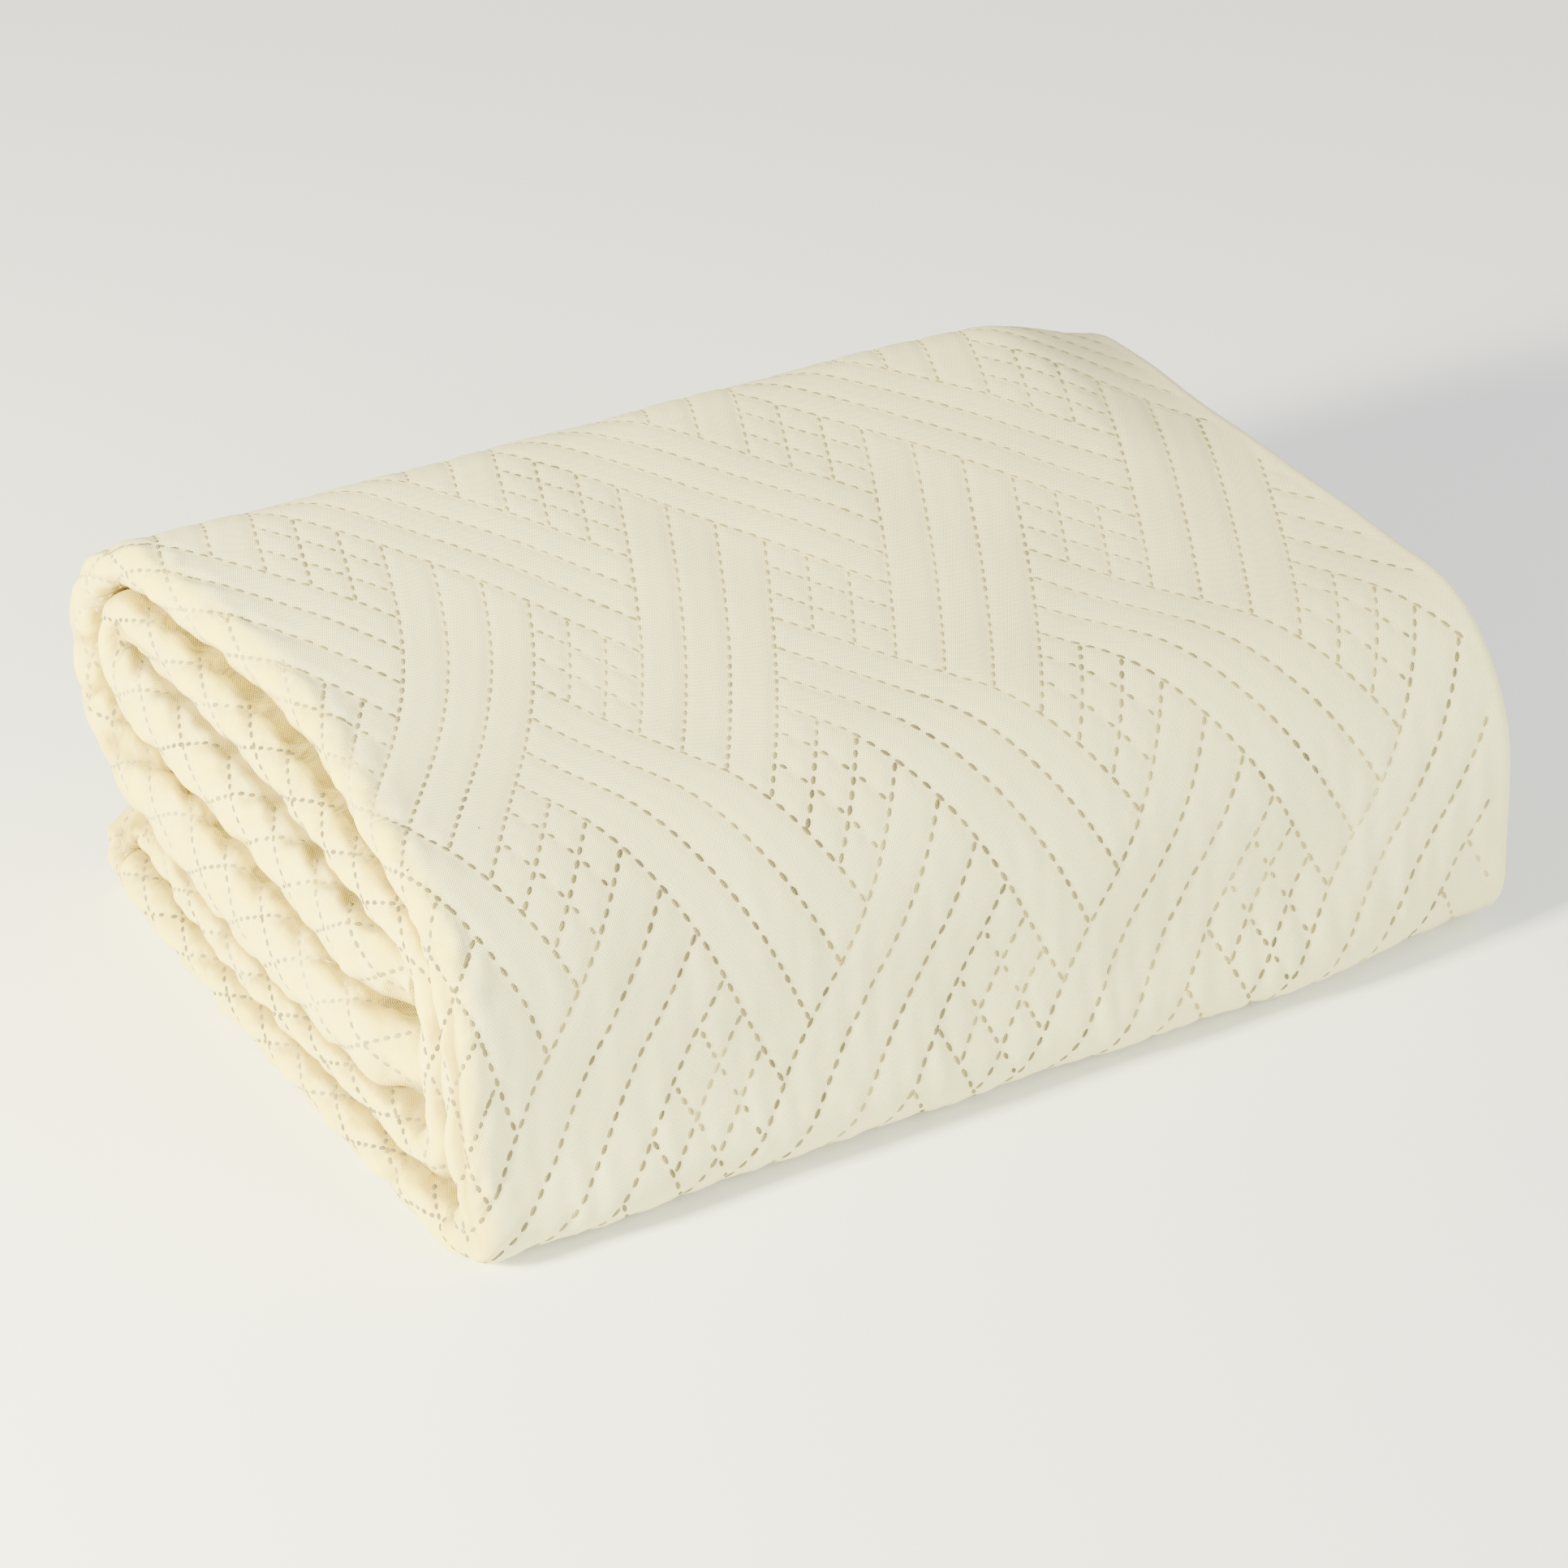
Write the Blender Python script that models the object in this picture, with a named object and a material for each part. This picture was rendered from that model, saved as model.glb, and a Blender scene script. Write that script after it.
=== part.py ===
"""Embossed bedspread, folded into a bundle: one cloth, one closed solid.

The cloth is folded in half twice across its width, which gives a strip of four
cloths with closed folds at its left end. The strip is then folded up along its
length: three double layers, an upper bend and a lower bend at the back, and one
turn round the front. Metres, +Z up, X along the bundle, -Y is the front.
"""

from collections import namedtuple

import bmesh
import bpy
import numpy as np

for old in list(bpy.data.objects):
    bpy.data.objects.remove(old, do_unlink=True)

# Sizes of the bundle
LENGTH = 0.550
DEPTH = 0.385
STRIP_PITCH = 0.0278
CLOTHS = 4
CLOTH_PITCH = STRIP_PITCH / CLOTHS
CLOTH_THICK = 0.0046
HALF_STRIP = 1.5 * CLOTH_PITCH + CLOTH_THICK / 2

# Where the strip turns
FRONT_Y = -DEPTH / 2 + HALF_STRIP
TOP_FRONT_RADIUS = 0.062
LOW_FRONT_RADIUS = 0.020
LOW_INNER_RADIUS = 0.016
UPPER_BEND_Y = 0.150
LOWER_BEND_Y = 0.155
FOURTH_END_Y = FRONT_Y + 0.0445
THIRD_END_Y = FRONT_Y + 0.055

# Near its two hidden ends the strip's left end is tucked in behind the front
TUCK_IN = 0.016
TUCK_LENGTH = 0.040

# Quilting: lines in two slants, six to a repeat, four of them a woven band
QUILT_DEPTH = 0.0018
QUILT_ROWS = 32
QUILT_COLUMNS = 46
TOP_ROW_STEP = 3
REPEAT = 6
BAND_LINES = 4
FIRST_RISING = 1
FIRST_FALLING = 3

# The strip from its hidden end: length of a run or radius of a bend, turn in
# degrees, rows of faces, and how far its left end is set in at start and middle
RUN_FRONT = STRIP_PITCH * 5 - TOP_FRONT_RADIUS - LOW_FRONT_RADIUS
RUN_FRONT_IN = STRIP_PITCH * 4 - TOP_FRONT_RADIUS - LOW_INNER_RADIUS
RUN_TOP = UPPER_BEND_Y - FRONT_Y - TOP_FRONT_RADIUS
Fold = namedtuple("Fold", "name size turn rows start_in middle_in quilted")
FOLDS = [
    Fold("fourth", UPPER_BEND_Y - FOURTH_END_Y, 0, 5, -0.004, -0.008, False),
    Fold("upper bend", STRIP_PITCH * 1.5, 180, 0, -0.003, 0.001, True),
    Fold("top", RUN_TOP, 0, 0, 0.010, 0.026, True),
    Fold("top front", TOP_FRONT_RADIUS, 90, 0, 0.008, 0.003, True),
    Fold("front", RUN_FRONT, 0, 0, 0.000, 0.000, True),
    Fold("low front", LOW_FRONT_RADIUS, 90, 0, 0.000, -0.003, True),
    Fold("lowest", LOWER_BEND_Y - FRONT_Y - LOW_FRONT_RADIUS, 0, 5, -0.004, -0.008, False),
    Fold("lower bend", STRIP_PITCH * 0.5, 180, 5, -0.006, -0.004, False),
    Fold("fifth", LOWER_BEND_Y - FRONT_Y - STRIP_PITCH - LOW_INNER_RADIUS, 0, 5, -0.003, -0.006, False),
    Fold("low front in", LOW_INNER_RADIUS, -90, 3, 0.000, 0.000, False),
    Fold("front in", RUN_FRONT_IN, 0, 2, 0.003, 0.003, False),
    Fold("top front in", TOP_FRONT_RADIUS - STRIP_PITCH, -90, 5, 0.004, 0.004, False),
    Fold("second", RUN_TOP, 0, 5, 0.004, 0.011, False),
    Fold("inner bend", STRIP_PITCH * 0.5, -180, 5, 0.004, 0.003, False),
    Fold("third", UPPER_BEND_Y - THIRD_END_Y, 0, 5, 0.000, 0.001, False),
]
END_IN = -0.004

# The four cloths of the strip, from the hem at the right end of the outer one:
# runs along X at a height across the strip, and the bends that join them
RUN_COLUMNS = 5
OUTER_BEND_COLUMNS = 4
INNER_BEND_COLUMNS = 3
HEM_IN = 0.002
THIRD_HEM_IN = 0.005
RIGHT_BEND_IN = 0.004

# How the bundle has settled: heights are shares of the height there
BACK_RISE = 0.092
MIDDLE_RISE = 0.035
FRONT_CROWN = 0.020
BACK_OUT = 0.013
WAIST_OUT = 0.006
UPPER_BACK_IN = 0.014
LOWER_BACK_IN = 0.008
FOOT_OUT = 0.021
RIGHT_FOOT_LESS = 0.014
RIGHT_FRONT_OUT = 0.004
NOTCH_IN = 0.014
NOTCH_HEIGHT = 0.043
NOTCH_REACH = 0.011

# Heights of the layer borders at the left end, where folds puff up or are pressed
Border = namedtuple("Border", "even left")
BORDERS = [
    Border(0.0, 0.0),
    Border(2 * STRIP_PITCH, 0.044),
    Border(3 * STRIP_PITCH, 0.086),
    Border(4 * STRIP_PITCH, 0.122),
    Border(5 * STRIP_PITCH, 0.147),
    Border(6 * STRIP_PITCH, 0.171),
    Border(7 * STRIP_PITCH, 0.196),
]


def ease(low, high, value):
    """Smooth step from 0 at low to 1 at high."""
    t = np.clip((value - low) / (high - low), 0.0, 1.0)
    return t * t * (3.0 - 2.0 * t)


def swell(value, centre, reach):
    """A soft hump of height 1."""
    return np.exp(-((value - centre) / reach) ** 2)


def smooth_curve(knots, heights, value):
    """Smooth curve through a row of knots."""
    slopes = np.gradient(heights, knots)
    i = np.clip(np.searchsorted(knots, value) - 1, 0, len(knots) - 2)
    span = knots[i + 1] - knots[i]
    t = (value - knots[i]) / span
    first = (2 * t**3 - 3 * t**2 + 1) * heights[i] + (t**3 - 2 * t**2 + t) * span * slopes[i]
    second = (3 * t**2 - 2 * t**3) * heights[i + 1] + (t**3 - t**2) * span * slopes[i + 1]
    return first + second


class StripPath:
    """Centre line of the strip in the Y-Z plane, with its outward side on the right."""

    def __init__(self):
        self.pieces = []
        y, z, heading = FOURTH_END_Y, HALF_STRIP + 2 * STRIP_PITCH, 0.0
        along, face = 0.0, 0.0
        for fold in FOLDS:
            turn = np.radians(fold.turn)
            bend = 0.0 if fold.turn == 0 else np.sign(turn) / fold.size
            length = fold.size if fold.turn == 0 else abs(turn) * fold.size
            face_length = length * (1.0 + max(bend, 0.0) * HALF_STRIP)
            self.pieces.append((fold, along, length, y, z, heading, bend, face, face_length))
            if fold.turn == 0:
                y += length * np.cos(heading)
                z += length * np.sin(heading)
            else:
                y += (np.sin(heading + turn) - np.sin(heading)) / bend
                z -= (np.cos(heading + turn) - np.cos(heading)) / bend
                heading += turn
            along += length
            face += face_length
        self.length = along
        knots, insets = [], []
        for fold, start, length, *_ in self.pieces:
            knots += [start, start + length / 2]
            insets += [fold.start_in, fold.middle_in]
        self.knots = np.array(knots + [along])
        self.insets = np.array(insets + [END_IN])

    def at(self, along):
        """Y, Z and heading at a distance along the centre line."""
        for _, start, length, y, z, heading, bend, _, _ in self.pieces:
            if along <= start + length + 1e-9:
                break
        s = along - start
        if bend == 0.0:
            return y + s * np.cos(heading), z + s * np.sin(heading), heading
        turned = heading + bend * s
        y += (np.sin(turned) - np.sin(heading)) / bend
        z -= (np.cos(turned) - np.cos(heading)) / bend
        return y, z, turned

    def from_face(self, distance):
        """Centre-line distance under a distance measured on the outer face."""
        for _, start, length, _, _, _, _, face, face_length in self.pieces:
            if distance <= face + face_length + 1e-9:
                break
        return start + (distance - face) * length / face_length

    def inset(self, along):
        """How far the left end is set in, with the tuck at both hidden ends."""
        to_end = min(along, self.length - along)
        tuck = TUCK_IN * (1.0 - ease(0.0, TUCK_LENGTH, to_end))
        return smooth_curve(self.knots, self.insets, along) + tuck


def make_rows(path):
    """Rows along the strip: distance, quilt row or -1, and whether it cuts every cloth."""
    quilted = [piece for piece in path.pieces if piece[0].quilted]
    face_start = quilted[0][7]
    face_length = quilted[-1][7] + quilted[-1][8] - face_start
    rows = []
    after_quilt = False
    for fold, start, length, *_ in path.pieces:
        if not fold.quilted:
            first = 1 if after_quilt else 0
            rows += [(start + length * k / fold.rows, -1, True) for k in range(first, fold.rows)]
        after_quilt = fold.quilted
    rows.append((path.length, -1, True))
    rows += [(TUCK_LENGTH, -1, True), (path.length - TUCK_LENGTH, -1, True)]
    top_start, top_length = next(piece[1:3] for piece in path.pieces if piece[0].name == "top")
    for k in range(QUILT_ROWS + 1):
        along = path.from_face(face_start + face_length * k / QUILT_ROWS)
        on_top = top_start < along <= top_start + top_length
        rows.append((along, k, not on_top or k % TOP_ROW_STEP == 0))
    return sorted(rows)


def make_columns():
    """Columns across the cloth: x, height in the strip, face direction, quilt column, full."""
    left = -LENGTH / 2 + HALF_STRIP
    hem = LENGTH / 2 - HEM_IN
    right = LENGTH / 2 - CLOTH_PITCH / 2 - CLOTH_THICK / 2 - RIGHT_BEND_IN
    third_hem = LENGTH / 2 - THIRD_HEM_IN
    outer, inner = 1.5 * CLOTH_PITCH, 0.5 * CLOTH_PITCH
    full_at = {round(QUILT_COLUMNS * k / RUN_COLUMNS) for k in range(RUN_COLUMNS + 1)}
    columns = []
    for k in range(QUILT_COLUMNS + 1):
        x = hem + (left - hem) * k / QUILT_COLUMNS
        columns.append((x, outer, 0.0, 1.0, k, k in full_at))
    for k in range(1, OUTER_BEND_COLUMNS + 1):
        turn = np.pi * k / OUTER_BEND_COLUMNS
        x = left - outer * np.sin(turn)
        columns.append((x, outer * np.cos(turn), -np.sin(turn), np.cos(turn), QUILT_COLUMNS + k, True))
    for k in range(1, RUN_COLUMNS + 1):
        columns.append((left + (right - left) * k / RUN_COLUMNS, -outer, 0.0, -1.0, -1, True))
    for k in range(1, INNER_BEND_COLUMNS + 1):
        turn = np.pi * k / INNER_BEND_COLUMNS
        x = right + inner * np.sin(turn)
        columns.append((x, -CLOTH_PITCH - inner * np.cos(turn), np.sin(turn), -np.cos(turn), -1, True))
    for k in range(1, RUN_COLUMNS + 1):
        columns.append((right + (left - right) * k / RUN_COLUMNS, -inner, 0.0, 1.0, -1, True))
    for k in range(1, INNER_BEND_COLUMNS + 1):
        turn = np.pi * k / INNER_BEND_COLUMNS
        x = left - inner * np.sin(turn)
        columns.append((x, -inner * np.cos(turn), np.sin(turn), np.cos(turn), -1, True))
    for k in range(1, RUN_COLUMNS + 1):
        columns.append((left + (third_hem - left) * k / RUN_COLUMNS, inner, 0.0, -1.0, -1, True))
    return columns


def settle(x, y, z):
    """Uneven shape of the real bundle: puffed left end, higher back, rounded corners."""
    back = ease(-0.08, 0.16, y)
    back_edge = ease(0.05, 0.20, y)
    front = ease(-0.08, -0.19, y)
    left = 1.0 - ease(-0.27, -0.12, x)
    right = ease(0.15, 0.28, x)
    right_end = ease(0.20, 0.29, x)
    puffed = np.interp(z, [b.even for b in BORDERS], [b.left for b in BORDERS])
    height = z + left * (puffed - z)
    rise = (BACK_RISE + MIDDLE_RISE * (1.0 - left)) * back * (1.0 - right_end)
    crown = FRONT_CROWN * (1.0 - left) * (1.0 - back) * swell(x, 0.0, 0.16)
    depth = y + BACK_OUT * back_edge * (1.0 - 0.6 * right)
    depth += back_edge * (WAIST_OUT * swell(z, 0.09, 0.03) - UPPER_BACK_IN * ease(0.12, 0.17, z))
    depth -= back_edge * LOWER_BACK_IN * swell(z, 0.02, 0.035)
    depth -= (FOOT_OUT - RIGHT_FOOT_LESS * right) * front * swell(z, 0.0, 0.045)
    depth -= RIGHT_FRONT_OUT * right * front * swell(z, 0.07, 0.05)
    notch = left * ease(0.08, 0.17, y) * swell(z, NOTCH_HEIGHT, NOTCH_REACH)
    return x + NOTCH_IN * notch, depth, height * (1.0 + rise + crown)


def line_pressed(rising, line, cross):
    """Whether a quilting line is pressed in just past a line of the other slant.

    Four lines of six make a band. Bands pass over and under each other in turn,
    and the two lines between bands are short, inside the open diamonds.
    """
    band, place = divmod(line, REPEAT)
    cross_band, cross_place = divmod(cross, REPEAT)
    in_gap = cross_place >= BAND_LINES - 1
    if in_gap or place >= BAND_LINES:
        return in_gap
    rising_on_top = (band + cross_band) % 2 == 1
    return rising_on_top == rising


def build_cloth():
    path = StripPath()
    rows = make_rows(path)
    columns = make_columns()
    frames = [path.at(row[0]) + (path.inset(row[0]),) for row in rows]
    mesh = bmesh.new()
    made = {}

    def vertex(side, i, j):
        """Point of the outer (+1) or inner (-1) face at column i, row j."""
        key = (side, i, j)
        if key in made:
            return made[key]
        x, w, face_x, face_w, quilt_i, _ = columns[i]
        y, z, heading, inset = frames[j]
        offset = side * CLOTH_THICK / 2
        quilt_j = rows[j][1]
        if side > 0 and 0 < quilt_i < QUILT_COLUMNS + OUTER_BEND_COLUMNS and 0 < quilt_j < QUILT_ROWS:
            if (quilt_i + quilt_j) % 2 == 0:
                offset -= QUILT_DEPTH
        x += offset * face_x
        w += offset * face_w
        x += (1.0 - ease(-0.27, 0.0, x)) * inset
        made[key] = mesh.verts.new(settle(x, y + w * np.sin(heading), z - w * np.cos(heading)))
        return made[key]

    def face(side, corners):
        points = [vertex(side, i, j) for i, j in corners]
        mesh.faces.new(points if side > 0 else points[::-1])

    def in_quilt(side, i, j):
        """Whether the cell right of column i and row j carries the quilting."""
        if side < 0 or i < 0 or j < 0 or i >= len(columns) - 1 or j >= len(rows) - 1:
            return False
        return columns[i + 1][4] > 0 and rows[j][1] >= 0 and rows[j + 1][1] > 0

    full_i = [i for i, column in enumerate(columns) if column[5]]
    full_j = [j for j, row in enumerate(rows) if row[2]]

    def quilt_cell(i, j):
        """Two triangles that meet on the pressed line, or on the ridge where none runs."""
        a, b = columns[i][4], rows[j][1]
        rising = (a + b) % 2 == 0
        if rising:
            pressed = line_pressed(True, (a - b) // 2 + FIRST_RISING, (a + b) // 2 + FIRST_FALLING)
        else:
            pressed = line_pressed(False, (a + b + 1) // 2 + FIRST_FALLING, (a - b - 1) // 2 + FIRST_RISING)
        if rising == pressed:
            face(1, [(i, j), (i + 1, j), (i + 1, j + 1)])
            face(1, [(i, j), (i + 1, j + 1), (i, j + 1)])
        else:
            face(1, [(i, j), (i + 1, j), (i, j + 1)])
            face(1, [(i + 1, j), (i + 1, j + 1), (i, j + 1)])

    def edge(start, stop, fixed, along_rows, fine):
        """Vertices from start to just before stop on one side of a cell."""
        step = 1 if stop > start else -1
        marks = range(start, stop, step) if fine else [start]
        return [(fixed, m) if along_rows else (m, fixed) for m in marks]

    for side in (1, -1):
        for i0, i1 in zip(full_i, full_i[1:]):
            for j0, j1 in zip(full_j, full_j[1:]):
                if in_quilt(side, i0, j0):
                    for i in range(i0, i1):
                        for j in range(j0, j1):
                            quilt_cell(i, j)
                    continue
                corners = edge(i0, i1, j0, False, in_quilt(side, i0, j0 - 1))
                corners += edge(j0, j1, i1, True, in_quilt(side, i1, j0))
                corners += edge(i1, i0, j1, False, in_quilt(side, i0, j1))
                corners += edge(j1, j0, i0, True, in_quilt(side, i0 - 1, j0))
                face(side, corners)

    for i, turned in ((0, False), (len(columns) - 1, True)):
        for j0, j1 in zip(full_j, full_j[1:]):
            outer = [vertex(1, i, j) for j in range(j0, j1 + 1) if j in (j0, j1) or in_quilt(1, i, j0)]
            inner = [vertex(-1, i, j1), vertex(-1, i, j0)]
            points = outer + inner
            mesh.faces.new(points[::-1] if turned else points)
    for j, turned in ((0, True), (len(rows) - 1, False)):
        for i0, i1 in zip(full_i, full_i[1:]):
            points = [vertex(1, i0, j), vertex(1, i1, j), vertex(-1, i1, j), vertex(-1, i0, j)]
            mesh.faces.new(points[::-1] if turned else points)

    bmesh.ops.triangulate(mesh, faces=mesh.faces[:], quad_method="BEAUTY", ngon_method="EAR_CLIP")
    bmesh.ops.recalc_face_normals(mesh, faces=mesh.faces[:])
    data = bpy.data.meshes.new("bedspread")
    mesh.to_mesh(data)
    mesh.free()
    return data


def centre_on_floor(data):
    """Put the middle of the bundle over the origin and its lowest face on Z = 0."""
    points = np.array([v.co[:] for v in data.vertices])
    low, high = points.min(axis=0), points.max(axis=0)
    shift = np.array([(low[0] + high[0]) / 2, (low[1] + high[1]) / 2, low[2]])
    for v, point in zip(data.vertices, points - shift):
        v.co = point


bedspread_mesh = build_cloth()
centre_on_floor(bedspread_mesh)
bedspread = bpy.data.objects.new("bedspread", bedspread_mesh)
bpy.context.scene.collection.objects.link(bedspread)

cream = bpy.data.materials.new("cream cotton")
cream.use_nodes = True
cream_shader = cream.node_tree.nodes["Principled BSDF"]
cream_shader.inputs["Base Color"].default_value = (0.83, 0.79, 0.65, 1.0)
cream_shader.inputs["Roughness"].default_value = 0.85
bedspread.data.materials.append(cream)
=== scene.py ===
# %% [markdown]
# # A folded, embossed bedspread
# The object is one large padded cloth. It is folded in half twice across its width, and then
# folded up along its length into a soft bundle. Lines of pressed dashes quilt it in a pattern
# of woven bands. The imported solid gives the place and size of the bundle, and this script
# builds the cloth that stands for it: the folds, the relief, the dashes and the finish.

from collections import namedtuple

import bmesh
import bpy
import numpy as np
from mathutils import Matrix, Vector
from mathutils.bvhtree import BVHTree


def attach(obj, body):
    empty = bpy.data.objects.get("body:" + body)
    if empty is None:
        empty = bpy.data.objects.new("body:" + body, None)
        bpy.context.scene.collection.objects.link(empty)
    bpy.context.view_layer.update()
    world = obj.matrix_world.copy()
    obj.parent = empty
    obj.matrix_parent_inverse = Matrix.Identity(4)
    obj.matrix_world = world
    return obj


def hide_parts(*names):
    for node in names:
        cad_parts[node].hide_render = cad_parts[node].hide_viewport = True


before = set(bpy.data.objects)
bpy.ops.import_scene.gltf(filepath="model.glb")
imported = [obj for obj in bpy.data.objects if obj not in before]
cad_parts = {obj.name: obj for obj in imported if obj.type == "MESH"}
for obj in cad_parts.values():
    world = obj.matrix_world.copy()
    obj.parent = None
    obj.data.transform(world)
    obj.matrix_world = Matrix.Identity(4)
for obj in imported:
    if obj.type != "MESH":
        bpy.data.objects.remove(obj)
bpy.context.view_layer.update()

# %% [markdown]
# ## Camera
# The photo was taken from the left, about 31 degrees up, with a long lens, so that parallel
# edges stay nearly parallel. A camera is fitted to a few corners of the bundle, and its matrix
# is built from three directions: right, up, and back towards the camera.

# %% Camera at the photo's angle
def add_object(name, data):
    """A new object in the scene."""
    made = bpy.data.objects.new(name, data)
    bpy.context.scene.collection.objects.link(made)
    return made


CAMERA_TURN = np.radians(-30.16)
CAMERA_RISE = np.radians(31.07)
CAMERA_PLACE = Vector((-1.0556, -1.8255, 1.3292))
SENSOR = 36.0
LENS = 118.7

back = Vector((np.sin(CAMERA_TURN) * np.cos(CAMERA_RISE),
               -np.cos(CAMERA_TURN) * np.cos(CAMERA_RISE), np.sin(CAMERA_RISE)))
right = Vector((np.cos(CAMERA_TURN), np.sin(CAMERA_TURN), 0.0))
camera_data = bpy.data.cameras.new("camera")
camera_data.sensor_width = SENSOR
camera_data.lens = LENS
camera = add_object("camera", camera_data)
turned = Matrix((right, back.cross(right), back)).transposed().to_4x4()
camera.matrix_world = Matrix.Translation(CAMERA_PLACE) @ turned
bpy.context.scene.camera = camera
print("camera at", [round(c, 3) for c in camera.location])

# %% [markdown]
# ## Floor and light
# The photo is a plain studio cut-out on white. A pale floor and a pale sky stand for that. The
# left end is the brightest and warmest part, and the hollows under its rolls are darker than
# their upper sides. So the main lamp stands low at the left, about level with the front face,
# which it barely grazes. A wide front lamp stands to the right, as the long side darkens to the
# left.

# %% Floor, sky and lamps
def plain_material(name, colour, roughness):
    """A material of one colour and roughness."""
    material = bpy.data.materials.new(name)
    material.use_nodes = True
    shader = material.node_tree.nodes["Principled BSDF"]
    shader.inputs["Base Color"].default_value = colour
    shader.inputs["Roughness"].default_value = roughness
    return material


FLOOR_HALF = 6.0
FLOOR_COLOUR = (0.90, 0.93, 0.98, 1.0)
FLOOR_ROUGHNESS = 0.9
SKY_COLOUR = (1.0, 0.99, 0.965, 1.0)
SKY_STRENGTH = 1.03
LIT_POINT = Vector((0.0, 0.0, 0.08))
# size is the side of a square lamp, and power is in watts
Lamp = namedtuple("Lamp", "name place size power colour")
LAMPS = [Lamp("left lamp", (-2.0, -0.25, 0.85), 0.35, 285.0, (1.0, 0.92, 0.57)),
         Lamp("front lamp", (1.0, -2.4, 1.3), 1.4, 80.0, (1.0, 0.965, 0.81))]

corners = [(FLOOR_HALF * x, FLOOR_HALF * y, 0.0) for x, y in ((-1, -1), (1, -1), (1, 1), (-1, 1))]
floor_mesh = bpy.data.meshes.new("floor")
floor_mesh.from_pydata(corners, [], [(0, 1, 2, 3)])
floor = add_object("floor", floor_mesh)
floor.data.materials.append(plain_material("pale floor", FLOOR_COLOUR, FLOOR_ROUGHNESS))

sky = bpy.data.worlds.new("pale studio")
sky.use_nodes = True
sky.node_tree.nodes["Background"].inputs["Color"].default_value = SKY_COLOUR
sky.node_tree.nodes["Background"].inputs["Strength"].default_value = SKY_STRENGTH
bpy.context.scene.world = sky

for lamp in LAMPS:
    data = bpy.data.lights.new(lamp.name, "AREA")
    data.size, data.energy, data.color = lamp.size, lamp.power, lamp.colour
    lamp_object = add_object(lamp.name, data)
    lamp_object.location = lamp.place
    lamp_object.rotation_euler = (LIT_POINT - Vector(lamp.place)).to_track_quat("-Z", "Y").to_euler()

# %% [markdown]
# ## How the bedspread is folded
# First it was folded in half twice across its width: that makes a strip of four cloths, with
# closed folds at its left end and the hems at its right. Then the strip was folded up along
# its length. One could model six flat slabs and stack them, but real cloth turns over from one
# layer into the next. So the strip follows a path of straight runs and round bends, the same
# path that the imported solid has, and each row of the table is one run or one bend.

# %% Sizes of the bundle and the table of folds
LENGTH = 0.550
DEPTH = 0.385
STRIP_PITCH = 0.0278
CLOTH_PITCH = STRIP_PITCH / 4
CLOTH_THICK = 0.0046
HALF_THICK = CLOTH_THICK / 2
OUTER_W = 1.5 * CLOTH_PITCH
INNER_W = 0.5 * CLOTH_PITCH
HALF_STRIP = OUTER_W + HALF_THICK
LEFT = -LENGTH / 2 + HALF_STRIP
FRONT_Y = -DEPTH / 2 + HALF_STRIP
TOP_FRONT_RADIUS = 0.062
LOW_FRONT_RADIUS = 0.020
LOW_INNER_RADIUS = 0.016
UPPER_BEND_Y = 0.150
LOWER_BEND_Y = 0.155
FOURTH_END_Y = FRONT_Y + 0.0445
THIRD_END_Y = FRONT_Y + 0.055
TUCK_IN = 0.016
TUCK_LENGTH = 0.040
RUN_TOP = UPPER_BEND_Y - FRONT_Y - TOP_FRONT_RADIUS
RUN_LOWEST = LOWER_BEND_Y - FRONT_Y - LOW_FRONT_RADIUS
RUN_FIFTH = LOWER_BEND_Y - FRONT_Y - STRIP_PITCH - LOW_INNER_RADIUS
RUN_FRONT = STRIP_PITCH * 5 - TOP_FRONT_RADIUS - LOW_FRONT_RADIUS
RUN_FRONT_IN = STRIP_PITCH * 4 - TOP_FRONT_RADIUS - LOW_INNER_RADIUS
END_IN = -0.004

# size is a run's length or a bend's radius, turn is in degrees, start_in and middle_in say how
# far the left end is set in there, and shown is whether its whole face is seen from outside
Fold = namedtuple("Fold", "name size turn start_in middle_in shown")
FOLDS = [
    Fold("fourth", UPPER_BEND_Y - FOURTH_END_Y, 0, -0.004, -0.008, False),
    Fold("upper bend", STRIP_PITCH * 1.5, 180, -0.003, 0.001, True),
    Fold("top", RUN_TOP, 0, 0.010, 0.026, True),
    Fold("top front", TOP_FRONT_RADIUS, 90, 0.008, 0.003, True),
    Fold("front", RUN_FRONT, 0, 0.000, 0.000, True),
    Fold("low front", LOW_FRONT_RADIUS, 90, 0.000, -0.003, True),
    Fold("lowest", RUN_LOWEST, 0, -0.004, -0.008, False),
    Fold("lower bend", STRIP_PITCH * 0.5, 180, -0.006, -0.004, True),
    Fold("fifth", RUN_FIFTH, 0, -0.003, -0.006, False),
    Fold("low front in", LOW_INNER_RADIUS, -90, 0.000, 0.000, False),
    Fold("front in", RUN_FRONT_IN, 0, 0.003, 0.003, False),
    Fold("top front in", TOP_FRONT_RADIUS - STRIP_PITCH, -90, 0.004, 0.004, False),
    Fold("second", RUN_TOP, 0, 0.004, 0.011, False),
    Fold("inner bend", STRIP_PITCH * 0.5, -180, 0.004, 0.003, False),
    Fold("third", UPPER_BEND_Y - THIRD_END_Y, 0, 0.000, 0.001, False),
]
print(len(FOLDS), "runs and bends")

# %% [markdown]
# ## Walking along the strip
# Each place along the strip has a height and depth, a heading, and a distance along its outer
# face. Bends are longer on the outside than on the centre line, so both distances are kept: the
# cloth is placed by the centre line, and its pattern is laid out on the face.

# %% Path of the strip
def ease(low, high, value):
    """Smooth step from 0 at low to 1 at high."""
    t = np.clip((value - low) / (high - low), 0.0, 1.0)
    return t * t * (3.0 - 2.0 * t)


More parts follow.
